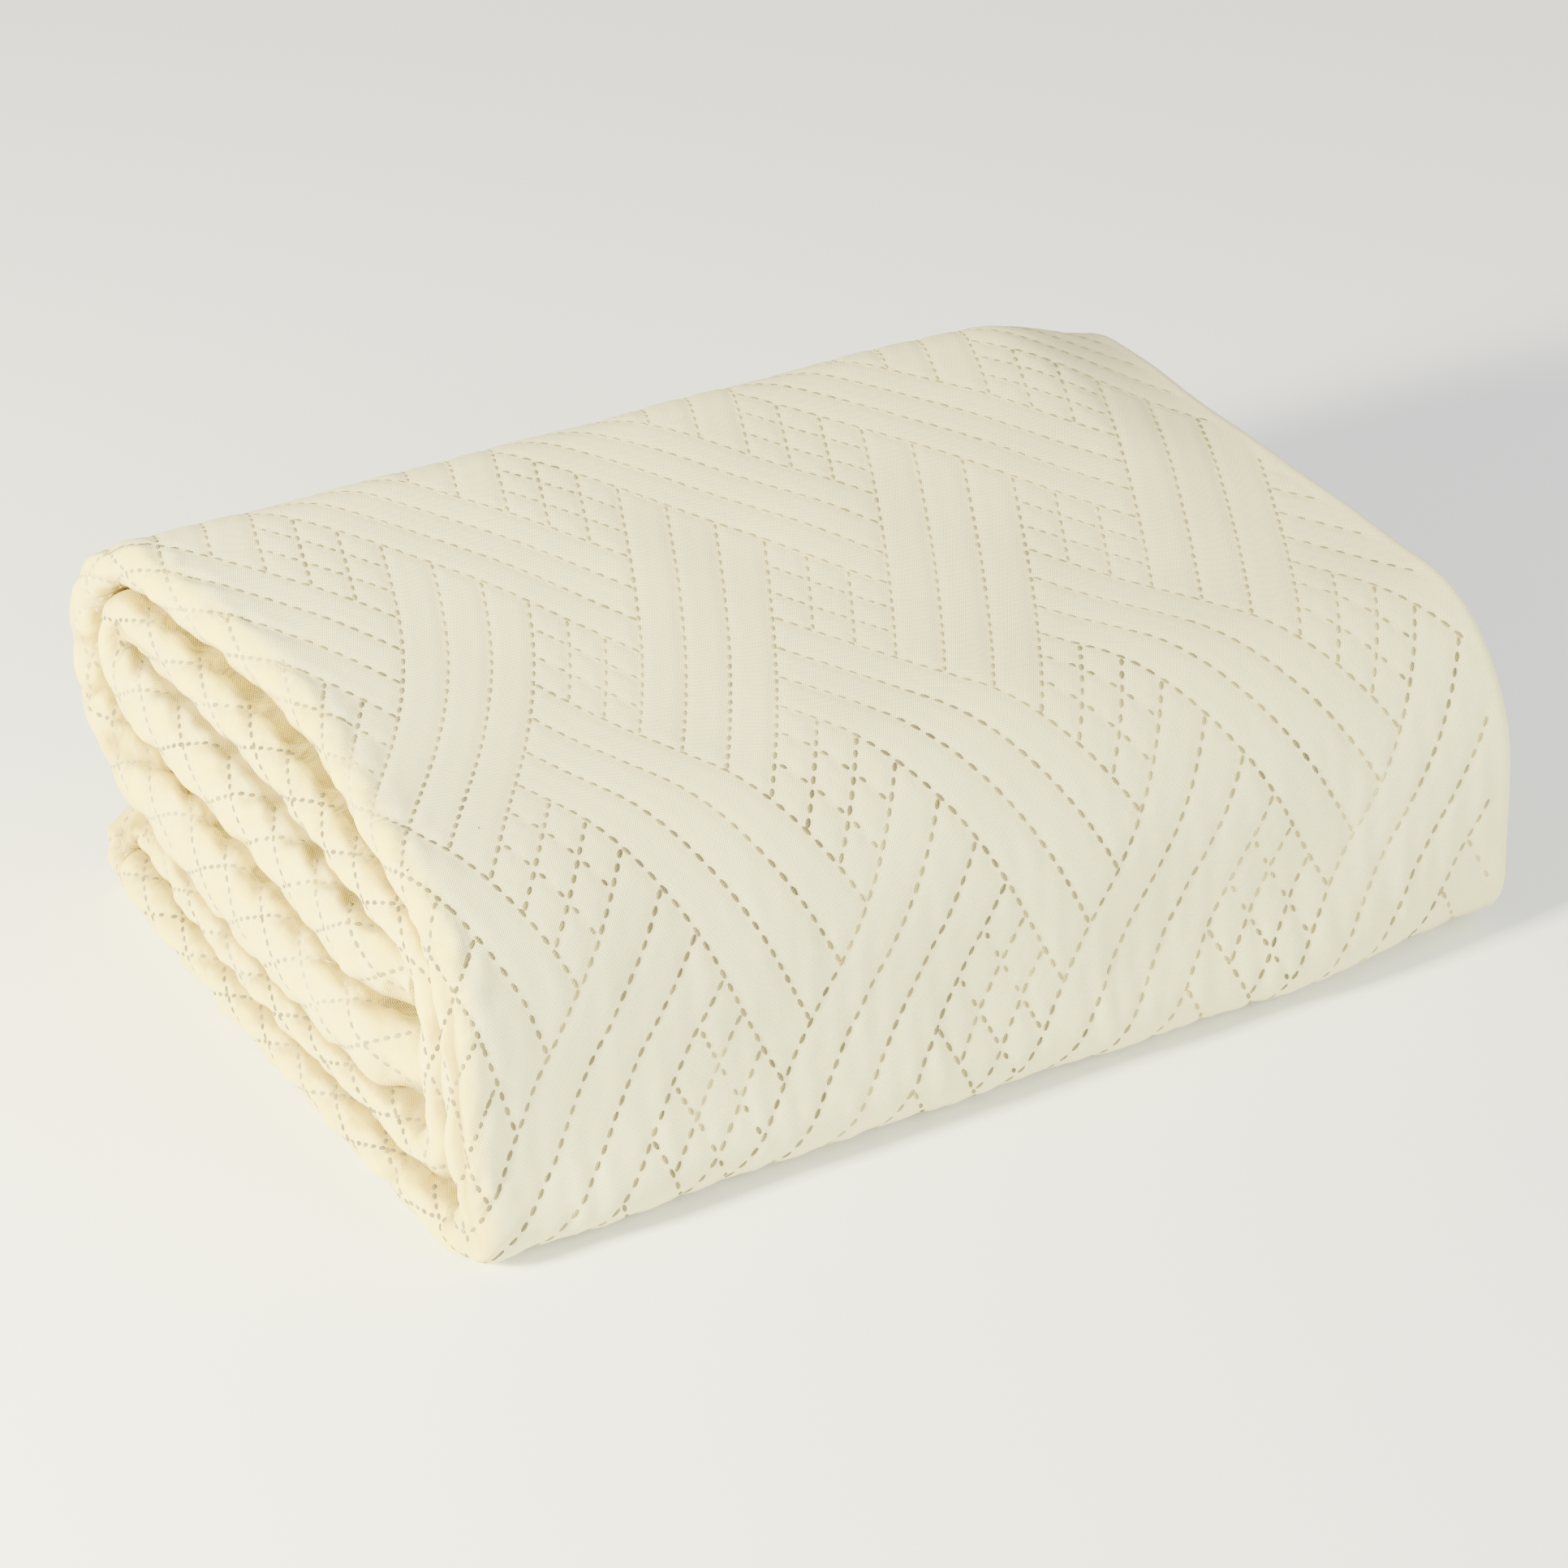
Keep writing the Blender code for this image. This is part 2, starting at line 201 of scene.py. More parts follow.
def swell(value, centre, reach):
    """A soft hump of height 1."""
    return np.exp(-((value - centre) / reach) ** 2)


def smooth_curve(knots, heights, value):
    """Smooth curve through a row of knots."""
    slopes = np.gradient(heights, knots)
    i = np.clip(np.searchsorted(knots, value) - 1, 0, len(knots) - 2)
    span = knots[i + 1] - knots[i]
    t = (value - knots[i]) / span
    first = (2 * t**3 - 3 * t**2 + 1) * heights[i] + (t**3 - 2 * t**2 + t) * span * slopes[i]
    second = (3 * t**2 - 2 * t**3) * heights[i + 1] + (t**3 - t**2) * span * slopes[i + 1]
    return first + second


Piece = namedtuple("Piece", "fold start length y z heading bend face face_length")
# how far past its ends a run or bend still counts, against rounding
TOUCH = 1e-9


class StripPath:
    """Centre line of the strip in the Y-Z plane, with its outward side on the right."""

    def __init__(self):
        self.pieces = []
        y, z, heading = FOURTH_END_Y, HALF_STRIP + 2 * STRIP_PITCH, 0.0
        along, face = 0.0, 0.0
        for fold in FOLDS:
            turn = np.radians(fold.turn)
            bend = 0.0 if fold.turn == 0 else np.sign(turn) / fold.size
            length = fold.size if fold.turn == 0 else abs(turn) * fold.size
            face_length = length * (1.0 + max(bend, 0.0) * HALF_STRIP)
            self.pieces.append(Piece(fold, along, length, y, z, heading, bend, face, face_length))
            if fold.turn == 0:
                y += length * np.cos(heading)
                z += length * np.sin(heading)
            else:
                y += (np.sin(heading + turn) - np.sin(heading)) / bend
                z -= (np.cos(heading + turn) - np.cos(heading)) / bend
                heading += turn
            along += length
            face += face_length
        self.length = along
        self.face_length = face
        knots = [knot for p in self.pieces for knot in (p.start, p.start + p.length / 2)]
        insets = [inset for fold in FOLDS for inset in (fold.start_in, fold.middle_in)]
        self.knots = np.array(knots + [along])
        self.insets = np.array(insets + [END_IN])

    def at_face(self, distance):
        """Y, Z, heading and left-end inset under distances measured on the outer face."""
        distance = np.asarray(distance, dtype=float)
        y, z, heading, along = (np.zeros_like(distance) for _ in range(4))
        for _, start, length, y0, z0, heading0, bend, face, face_length in self.pieces:
            here = (distance >= face - TOUCH) & (distance <= face + face_length + TOUCH)
            s = (distance[here] - face) * length / face_length
            turned = heading0 + bend * s
            if bend == 0.0:
                y[here] = y0 + s * np.cos(heading0)
                z[here] = z0 + s * np.sin(heading0)
            else:
                y[here] = y0 + (np.sin(turned) - np.sin(heading0)) / bend
                z[here] = z0 - (np.cos(turned) - np.cos(heading0)) / bend
            heading[here] = turned
            along[here] = start + s
        tuck = TUCK_IN * (1.0 - ease(0.0, TUCK_LENGTH, np.minimum(along, self.length - along)))
        return y, z, heading, smooth_curve(self.knots, self.insets, along) + tuck

    def span(self, name):
        """Where a run or bend starts and ends on the outer face."""
        piece = next(p for p in self.pieces if p.fold.name == name)
        return piece.face, piece.face + piece.face_length


path = StripPath()
print("strip is", round(path.length, 3), "m long,", round(path.face_length, 3), "m on its outer face")

# %% [markdown]
# ## How the bundle has settled
# A real bundle isn't square. Its back stands higher than its front, the closed folds at the
# left end are puffed or pressed, the back bends hang unevenly, and the front bulges at its
# foot. These are all small smooth moves of a point, so one function does them all, and no
# layer can pass through another.

# %% Settling
BORDERS_EVEN = np.array([0, 2, 3, 4, 5, 6, 7]) * STRIP_PITCH
BORDERS_LEFT = np.array([0.0, 0.044, 0.086, 0.122, 0.147, 0.171, 0.196])
BACK_RISE = 0.092
MIDDLE_RISE = 0.035
FRONT_CROWN = 0.020
BACK_OUT = 0.013
RIGHT_BACK_LESS = 0.6
WAIST_OUT = 0.006
UPPER_BACK_IN = 0.014
LOWER_BACK_IN = 0.008
FOOT_OUT = 0.021
RIGHT_FOOT_LESS = 0.014
RIGHT_FRONT_OUT = 0.004
NOTCH_IN = 0.014
FLOOR_CLEAR = 0.0002
TO_PART = np.array([0.00533, -0.00721, 0.0])
# each pair is where an ease starts and where it ends
BACK_PART, BACK_EDGE, FRONT_PART = (-0.08, 0.16), (0.05, 0.20), (-0.08, -0.19)
LEFT_PART, RIGHT_PART, RIGHT_END = (-0.27, -0.12), (0.15, 0.28), (0.20, 0.29)
UPPER_BACK, NOTCH_PART = (0.12, 0.17), (0.08, 0.17)
# each pair is the middle of a swell and its reach
CROWN, WAIST, LOWER_BACK = (0.0, 0.16), (0.09, 0.03), (0.02, 0.035)
FOOT, RIGHT_FRONT, NOTCH = (0.0, 0.045), (0.07, 0.05), (0.043, 0.011)


def settle(x, y, z):
    """Uneven shape of the real bundle: puffed left end, higher back, rounded corners."""
    x, y, z = np.broadcast_arrays(x, y, z)
    back_part, back_edge, front = ease(*BACK_PART, y), ease(*BACK_EDGE, y), ease(*FRONT_PART, y)
    left = 1.0 - ease(*LEFT_PART, x)
    right_part, right_end = ease(*RIGHT_PART, x), ease(*RIGHT_END, x)
    height = z + left * (np.interp(z, BORDERS_EVEN, BORDERS_LEFT) - z)
    rise = (BACK_RISE + MIDDLE_RISE * (1.0 - left)) * back_part * (1.0 - right_end)
    crown = FRONT_CROWN * (1.0 - left) * (1.0 - back_part) * swell(x, *CROWN)
    depth = y + BACK_OUT * back_edge * (1.0 - RIGHT_BACK_LESS * right_part)
    depth += back_edge * (WAIST_OUT * swell(z, *WAIST) - UPPER_BACK_IN * ease(*UPPER_BACK, z))
    depth -= back_edge * LOWER_BACK_IN * swell(z, *LOWER_BACK)
    depth -= (FOOT_OUT - RIGHT_FOOT_LESS * right_part) * front * swell(z, *FOOT)
    depth -= RIGHT_FRONT_OUT * right_part * front * swell(z, *RIGHT_FRONT)
    notch = left * ease(*NOTCH_PART, y) * swell(z, *NOTCH)
    settled = np.stack([x + NOTCH_IN * notch, depth, height * (1.0 + rise + crown)], axis=-1)
    settled += TO_PART
    settled[..., 2] = np.maximum(settled[..., 2], FLOOR_CLEAR)
    return settled


print("front foot moves", FOOT_OUT, "m out, back rises", BACK_RISE)

# %% [markdown]
# ## The quilting pattern
# Lines run in two slants and cross like a lattice. Six lines make a repeat: four of them are a
# band, and the two between bands are fillers. The bands pass over and under each other in turn,
# and the fillers are short, inside the open diamonds. A rule says for each stretch of line
# between two crossings whether it is pressed, so the whole pattern comes from one short list.
# Round the closed folds at the left end all lines are pressed, as the photo shows there.

# %% Lattice of lines
REPEAT_WIDTH = 0.140
LINES_IN_REPEAT = [0.0, 0.0253, 0.0506, 0.0759, 0.0973, 0.1187]
BAND_LINES = 4
SLOPE = 1.8
RISING_START = 0.2484
FALLING_START = -0.4504
REPEATS_EACH_WAY = 14
ACROSS = SLOPE / np.sqrt(1.0 + SLOPE**2)
MIDDLE_SHOWN = 0.70
HALF_SHOWN = 0.25
PATTERN_SPREAD = 0.015
PATTERN_BOW = 0.020
PATTERN_LEAN = 0.006
PATTERN_TWIST = 0.010
DRIFT_LIMIT = 1.1
DRIFT_ROUNDS = 4
FAR = 1.0


def line_places(start):
    """Places of all lines of one slant, across them, in order."""
    repeats = range(-REPEATS_EACH_WAY, REPEATS_EACH_WAY)
    return np.array([start + REPEAT_WIDTH * n + place for n in repeats for place in LINES_IN_REPEAT])


RISING = line_places(RISING_START)
FALLING = line_places(FALLING_START)
COUNT = len(LINES_IN_REPEAT)


def drift(u, v):
    """How far the pattern lies from an even lattice, as the cloth isn't laid quite square."""
    across = u / HALF_SHOWN
    along = np.clip((v - MIDDLE_SHOWN) / HALF_SHOWN, -DRIFT_LIMIT, DRIFT_LIMIT)
    du = PATTERN_SPREAD * across * along - PATTERN_BOW * along**2 - PATTERN_LEAN * along
    return du, -PATTERN_TWIST * across * along


def meeting(rising, line_place, cross_place):
    """Where, on the even lattice, a line of one slant meets a place across the other slant."""
    a, b = (line_place, cross_place) if rising else (cross_place, line_place)
    return (a + b) / 2.0, (a - b) * SLOPE / 2.0


def pressed(rising, line, cross):
    """Whether a line is pressed in between crossing line number cross and the next one."""
    band, place = np.divmod(line, COUNT)
    cross_band, cross_place = np.divmod(cross, COUNT)
    in_gap = cross_place >= BAND_LINES - 1
    on_top = (band + cross_band) % 2 == (0 if rising else 1)
    lines, crossings = (RISING, FALLING) if rising else (FALLING, RISING)
    between = (crossings[cross] + crossings[cross + 1]) / 2.0
    u, v = meeting(rising, lines[line], between)
    at_fold = u + drift(u, v)[0] < LEFT
    return in_gap | ((place < BAND_LINES) & on_top) | at_fold


def on_lattice(u, v):
    """Place on the even lattice that has drifted to u, v."""
    lattice_u, lattice_v = u, v
    for _ in range(DRIFT_ROUNDS):
        du, dv = drift(lattice_u, lattice_v)
        lattice_u, lattice_v = u - du, v - dv
    return lattice_u, lattice_v


def nearest_line(u, v):
    """Distance on the flat cloth to the nearest pressed line of each slant."""
    u, v = on_lattice(u, v)
    rising_at, falling_at = u + v / SLOPE, u - v / SLOPE
    i = np.searchsorted(RISING, rising_at) - 1
    j = np.searchsorted(FALLING, falling_at) - 1
    distances = []
    slants = ((True, RISING, rising_at, i, j), (False, FALLING, falling_at, j, i))
    for rising, lines, at, own, other in slants:
        distance = np.full(np.shape(at), FAR)
        for line in (own - 1, own, own + 1, own + 2):
            near = np.abs(at - lines[line]) * ACROSS
            distance = np.where(pressed(rising, line, other), np.minimum(distance, near), distance)
        distances.append(distance)
    return distances


print(len(RISING), "rising and", len(FALLING), "falling lines")

# %% [markdown]
# ## Relief of the cloth
# On the top the padding is pulled flat and the lines are shallow seams. Round the closed folds
# at the left end it is slack, so each field between lines puffs up like a small pillow. Long
# soft waves and finer creases come from a sum of a few plane waves with a fixed seed, which
# gives smooth unevenness without any noise between neighbouring points. The few deep creases
# that the photo shows at the back edge and the front corner are listed in a table.

# %% Relief functions
RIGHT = LENGTH / 2 - 0.002
SEAM_DEPTH = 0.0006
SEAM_WIDTH = 0.0028
BACK_SEAM_MORE = 0.8
PILLOW_HEIGHT = 0.0020
PILLOW_REACH = 0.0040
PILLOW_SINK = 0.45
THINNEST = 0.0012
BACK_START, BACK_STOP = path.span("upper bend")
# from and to of each ease
SLACK_EDGE, SWAY_EDGE = (LEFT - 0.006, LEFT + 0.018), (LEFT - 0.02, LEFT + 0.04)
HEM_EDGE = (RIGHT - 0.010, RIGHT - 0.002)
ONTO_BACK, OFF_BACK = (BACK_START, BACK_START + 0.05), (BACK_STOP - 0.06, BACK_STOP + 0.01)
ONTO_FRONT, OFF_FRONT = (0.74, 0.90), (0.96, 1.0)

# the sizes are those of a wave across and along the cloth
Waves = namedtuple("Waves", "height size_u size_v seed")
FINE_CREASES = Waves(0.0005, 0.012, 0.030, 11)
BROAD_CREASES = Waves(0.0006, 0.030, 0.022, 12)
DRAPE = Waves(0.00045, 0.014, 0.09, 13)
LONG_WAVES = Waves(0.0008, 0.11, 0.10, 21)
WAVE_COUNT = 14
WAVE_PACES = (0.6, 1.4)

# u and v are the middle of a crease on the flat cloth, turn is its angle from across the cloth
Crease = namedtuple("Crease", "name u v turn reach width depth")
CREASES = [
    Crease("pocket under the top roll", -0.2775, 2.015, 85, 0.030, 0.0036, 0.0032),
    Crease("back edge, high", -0.2890, 0.356, 10, 0.011, 0.0028, 0.0030),
    Crease("back edge, middle", -0.2900, 0.328, 20, 0.012, 0.0030, 0.0034),
    Crease("back edge, low", -0.2900, 0.294, 62, 0.014, 0.0032, 0.0034),
    Crease("below it", -0.2915, 0.276, 68, 0.020, 0.0034, 0.0030),
    Crease("low roll", -0.2810, 1.340, 81, 0.040, 0.0032, 0.0028),
    Crease("front edge", -0.2770, 0.845, 90, 0.050, 0.0028, 0.0038),
    Crease("front knuckle", -0.2660, 1.628, -18, 0.009, 0.0030, 0.0032),
    Crease("foot of the front", -0.2870, 0.986, 15, 0.009, 0.0030, 0.0026),
]


def waves(u, v, kind):
    """Smooth unevenness of about this height and these sizes."""
    random = np.random.default_rng(kind.seed)
    total = np.zeros(np.shape(u + v))
    for _ in range(WAVE_COUNT):
        turn, shift = random.uniform(0.0, 2.0 * np.pi, 2)
        pace = random.uniform(*WAVE_PACES)
        along = np.cos(turn) * u / kind.size_u + np.sin(turn) * v / kind.size_v
        total = total + np.sin(2 * np.pi * pace * along + shift)
    return kind.height * (total / np.sqrt(WAVE_COUNT * 2.0))


def hand_creases(u, v):
    """Depth of the creases of the table at a place on the flat cloth."""
    depth = np.zeros(np.shape(u + v))
    for crease in CREASES:
        turn = np.radians(crease.turn)
        along = (u - crease.u) * np.cos(turn) + (v - crease.v) * np.sin(turn)
        across = (v - crease.v) * np.cos(turn) - (u - crease.u) * np.sin(turn)
        depth = depth + crease.depth * swell(along, 0.0, crease.reach) * swell(across, 0.0, crease.width)
    return depth


def relief(u, v):
    """How far the outer face stands out at place u across and v along the flat cloth."""
    near = np.minimum(*nearest_line(u, v))
    slack = 1.0 - ease(*SLACK_EDGE, u)
    over_back = ease(*ONTO_BACK, v) * (1.0 - ease(*OFF_BACK, v))
    seam = -SEAM_DEPTH * (1.0 + BACK_SEAM_MORE * over_back) * swell(near, 0.0, SEAM_WIDTH)
    pillow = PILLOW_HEIGHT * (1.0 - swell(near, 0.0, PILLOW_REACH)) - PILLOW_SINK * PILLOW_HEIGHT
    creases = waves(u, v, FINE_CREASES) + waves(u, v, BROAD_CREASES)
    drape = ease(*ONTO_FRONT, v) * (1.0 - ease(*OFF_FRONT, v)) * waves(u, v, DRAPE)
    hem = 1.0 - ease(*HEM_EDGE, u)
    out = hem * ((1.0 - slack) * (seam + drape) + slack * (pillow + creases)) - hand_creases(u, v)
    return np.maximum(out, THINNEST - CLOTH_THICK)


def sway(u, v):
    """Long soft waves of the whole outer cloth, less at the closed folds."""
    return waves(u, v, LONG_WAVES) * ease(*SWAY_EDGE, u)


print("pillows", PILLOW_HEIGHT, "m high, seams", SEAM_DEPTH, "m deep")

# %% [markdown]
# ## From the flat cloth to the bundle
# A point of the outer face has a place u across and a distance v along the strip. On the run it
# lies at the strip's height. Past its left end it goes round the closed fold. Rows and columns
# of such points make the mesh, and the same function later puts the dashes on the face.

# %% Section across the strip
FOLD_FACE = np.pi * HALF_STRIP
RIGHT_BEND_X = LENGTH / 2 - CLOTH_PITCH / 2 - HALF_THICK - 0.004
THIRD_HEM_X = LENGTH / 2 - 0.005
INSET_EDGE = (-0.27, 0.0)


def outer_section(u):
    """X, height in the strip and face direction at place u of the outer cloth."""
    turn = np.clip((LEFT - u) / HALF_STRIP, 0.0, np.pi)
    x = np.where(u > LEFT, u, LEFT - OUTER_W * np.sin(turn))
    return x, OUTER_W * np.cos(turn), -np.sin(turn), np.cos(turn)


def place(x, w, v):
    """Point of the settled bundle at x, height w in the strip, and distance v along it."""
    y, z, heading, inset = path.at_face(v)
    x = x + (1.0 - ease(*INSET_EDGE, x)) * inset
    return settle(x, y + w * np.sin(heading), z - w * np.cos(heading))


def on_face(u, v):
    """Point on the outer face, relief and all."""
    x, w, face_x, face_w = outer_section(u)
    offset = HALF_THICK + relief(u, v) + sway(u, v)
    return place(x + offset * face_x, w + offset * face_w, v)


print("closed fold is", round(FOLD_FACE, 4), "m round")

# %% [markdown]
# ## The mesh
# Where the cloth is seen, the mesh is fine enough for seams and pillows. Inside the bundle it
# is coarse, and a coarse face takes the extra points of its fine neighbour on their shared
# side, so the sheet stays closed. It has real thickness and round hems.

# %% Columns and rows
STEP = 0.0028
COARSE_COLUMNS = 16
FINE_PER_COLUMN = 12
FINE_PER_FOLD_COLUMN = 4
FINE_PER_ROW = 4
OUTER_FOLD_COLUMNS = 16
INNER_FOLD_COLUMNS = 4

outer_run = COARSE_COLUMNS * FINE_PER_COLUMN
fold_marks = np.arange(1, OUTER_FOLD_COLUMNS + 1) / OUTER_FOLD_COLUMNS
outer_u = np.concatenate([np.linspace(RIGHT, LEFT, outer_run + 1), LEFT - FOLD_FACE * fold_marks])
columns = list(zip(*outer_section(outer_u)))
fine_columns = len(columns)


def add_run(start, stop, w, face_w):
    """Coarse columns of one hidden cloth."""
    for k in range(1, COARSE_COLUMNS + 1):
        columns.append((start + (stop - start) * k / COARSE_COLUMNS, w, 0.0, face_w))


def add_bend(centre, middle_w, side, face_out):
    """Coarse columns round a small inner bend at the right (side 1) or the left (-1)."""
    for k in range(1, INNER_FOLD_COLUMNS + 1):
        turn = np.pi * k / INNER_FOLD_COLUMNS
        out_x, out_w = side * np.sin(turn), -np.cos(turn)
        columns.append((centre + INNER_W * out_x, middle_w + INNER_W * out_w,
                        face_out * out_x, face_out * out_w))


add_run(LEFT, RIGHT_BEND_X, -OUTER_W, -1.0)
add_bend(RIGHT_BEND_X, -CLOTH_PITCH, 1, 1)
add_run(RIGHT_BEND_X, LEFT, -INNER_W, 1.0)
add_bend(LEFT, 0.0, -1, -1)
add_run(LEFT, THIRD_HEM_X, INNER_W, -1.0)
columns = np.array(columns)
full_columns = list(range(0, outer_run, FINE_PER_COLUMN))
full_columns += list(range(outer_run, fine_columns - 1, FINE_PER_FOLD_COLUMN))
full_columns += list(range(fine_columns - 1, len(columns)))

rows, shown_rows = [], []
for piece in path.pieces:
    count = FINE_PER_ROW * max(1, round(piece.face_length / STEP / FINE_PER_ROW))
    rows += [piece.face + piece.face_length * k / count for k in range(count)]
    shown_rows += [piece.fold.shown] * count
rows = np.array(rows + [path.face_length])
shown_rows = np.array(shown_rows)
full_rows = list(range(0, len(rows), FINE_PER_ROW))
print(len(columns), "columns,", len(rows), "rows")

# %% Points of both faces and of the round hems
x, w, face_x, face_w = (columns[:, k][:, None] for k in range(4))
steps = np.hypot(np.diff(columns[:, 0]), np.diff(columns[:, 1]))
flat_u = outer_u[0] - np.concatenate([[0.0], np.cumsum(steps)])
flat_u[:fine_columns] = outer_u
flat_u[fine_columns:] += outer_u[-1] - (outer_u[0] - np.cumsum(steps)[fine_columns - 2])
u = flat_u[:, None]
lift = np.zeros((len(columns), len(rows)))
lift[:fine_columns] = sway(u[:fine_columns], rows)
face_out = HALF_THICK + lift
face_out[:fine_columns] += relief(u[:fine_columns], rows)
back_out = lift - HALF_THICK
layers = [place(x + out * face_x, w + out * face_w, rows) for out in (face_out, back_out)]
points = [layer.reshape(-1, 3) for layer in layers]
HEM_TURNS = np.radians([45.0, 90.0, 135.0])
for hem in (0, len(columns) - 1):
    for turn in HEM_TURNS:
        hem_x = columns[hem, 0] + HALF_THICK * np.sin(turn)
        hem_w = columns[hem, 1] + (HALF_THICK * np.cos(turn) + lift[hem]) * columns[hem, 3]
        points.append(place(hem_x, hem_w, rows))
points = np.concatenate(points)
print(len(points), "grid points, thinnest cloth", round(float((face_out - back_out).min()), 4), "m")

# %% Faces
ROWS = len(rows)
LAYER = len(columns) * ROWS


def point(side, i, j):
    """Number of the point at column i, row j, on the face (side 0) or the back (side 1)."""
    return side * LAYER + i * ROWS + j


def hem_point(hem, turn, j):
    """Number of a point on a round hem: hem 0 or 1, turn 0 to 2, row j."""
    return 2 * LAYER + (hem * len(HEM_TURNS) + turn) * ROWS + j


def is_fine(side, i, j):
    """Whether the coarse cell that starts at column i, row j has the fine mesh."""
    if side or not 0 <= i < fine_columns - 1 or not 0 <= j < ROWS - 1:
        return False
    return bool(i >= outer_run or shown_rows[j])


def marks(start, stop, fine):
    """Columns or rows from start to just before stop, on one side of a cell."""
    return list(range(start, stop, 1 if stop > start else -1)) if fine else [start]


i, j = np.meshgrid(np.arange(fine_columns - 1), np.arange(ROWS - 1), indexing="ij")
fine = (i >= outer_run) | shown_rows[j]
i, j = i[fine], j[fine]
faces = np.stack([point(0, i, j), point(0, i + 1, j),
                  point(0, i + 1, j + 1), point(0, i, j + 1)], 1).tolist()
for side in (0, 1):
    for i0, i1 in zip(full_columns, full_columns[1:]):
        for j0, j1 in zip(full_rows, full_rows[1:]):
            if is_fine(side, i0, j0):
                continue
            ring = [point(side, i, j0) for i in marks(i0, i1, is_fine(side, i0, j0 - 1))]
            ring += [point(side, i1, j) for j in marks(j0, j1, is_fine(side, i1, j0))]
            ring += [point(side, i, j1) for i in marks(i1, i0, is_fine(side, i0, j1))]
            ring += [point(side, i0, j) for j in marks(j1, j0, is_fine(side, i0 - 1, j0))]
            faces.append(ring)
for hem, column in enumerate((0, len(columns) - 1)):
    for j0, j1 in zip(full_rows, full_rows[1:]):
        here = marks(j0, j1, is_fine(0, column, j0)) + [j1]
        lines = [[point(0, column, j) for j in here]]
        lines += [[hem_point(hem, turn, j) for j in here] for turn in range(len(HEM_TURNS))]
        for low, high in zip(lines, lines[1:]):
            faces += [[low[k], low[k + 1], high[k + 1], high[k]] for k in range(len(here) - 1)]
        faces.append(lines[-1] + [point(1, column, j1), point(1, column, j0)])
    for j in (0, ROWS - 1):
        faces.append([point(0, column, j)] + [hem_point(hem, turn, j) for turn in range(len(HEM_TURNS))]
                     + [point(1, column, j)])
for j in (0, ROWS - 1):
    for i0, i1 in zip(full_columns, full_columns[1:]):
        faces.append([point(0, i, j) for i in marks(i0, i1, is_fine(0, i0, min(j, ROWS - 2))) + [i1]]
                     + [point(1, i1, j), point(1, i0, j)])
print(len(faces), "faces")

# %% [markdown]
# ## A mesh that remembers its flat pattern
# The weave, the seams and the puckers follow the cloth, wherever it is folded. So each point
# keeps its place on the flat cloth as a UV map in metres, and how close it is to a seam of each
# slant as attributes. Materials can read both, which a bare shape can't give them.

# %% Bedspread object
def keep(mesh, name, values):
    """Keeps a number for each point of a mesh, as an attribute."""
    mesh.attributes.new(name, "FLOAT", "POINT").data.foreach_set("value", values)


SEAM_REACH = 0.0065
SLACK_SHADE_EDGE = (LEFT - 0.012, LEFT + 0.002)
used = np.unique(np.concatenate([np.array(ring) for ring in faces]))
number = np.full(len(points), -1)
number[used] = np.arange(len(used))
bedspread_mesh = bpy.data.meshes.new("folded bedspread")
bedspread_mesh.from_pydata(points[used].tolist(), [], [[int(number[p]) for p in ring] for ring in faces])

all_u, all_v = (grid.ravel() for grid in np.broadcast_arrays(flat_u[:, None], rows))
hem_u = np.repeat(flat_u[[0, -1]], len(HEM_TURNS) * ROWS)
cloth_u = np.concatenate([all_u, all_u, hem_u])[used]
cloth_v = np.concatenate([all_v, all_v, np.tile(rows, 2 * len(HEM_TURNS))])[used]
on_outer_face = (used < fine_columns * ROWS).astype(float)
for name, distance in zip(("near_rising", "near_falling"), nearest_line(cloth_u, cloth_v)):
    keep(bedspread_mesh, name, swell(distance, 0.0, SEAM_REACH) * on_outer_face)
# slack marks the closed folds: it drives their puckers, their painted bounce light and their stronger
# painted seam shade
keep(bedspread_mesh, "slack", (1.0 - ease(*SLACK_SHADE_EDGE, cloth_u)) * on_outer_face)
corner = np.zeros(len(bedspread_mesh.loops), dtype=np.int32)
bedspread_mesh.loops.foreach_get("vertex_index", corner)
flat_places = np.stack([cloth_u, cloth_v], 1)[corner]
bedspread_mesh.uv_layers.new(name="flat_cloth").data.foreach_set("uv", flat_places.ravel())

cloth = bmesh.new()
cloth.from_mesh(bedspread_mesh)
bmesh.ops.triangulate(cloth, faces=[f for f in cloth.faces if len(f.verts) > 4])
bmesh.ops.recalc_face_normals(cloth, faces=cloth.faces[:])
open_edges = sum(len(e.link_faces) != 2 for e in cloth.edges)
print("open edges", open_edges, "litres", round(cloth.calc_volume() * 1000, 2))
cloth.to_mesh(bedspread_mesh)
cloth.free()
bedspread_mesh.shade_smooth()
folded_bedspread = add_object("folded_bedspread", bedspread_mesh)
print(sum(len(f.vertices) - 2 for f in bedspread_mesh.polygons), "triangles")
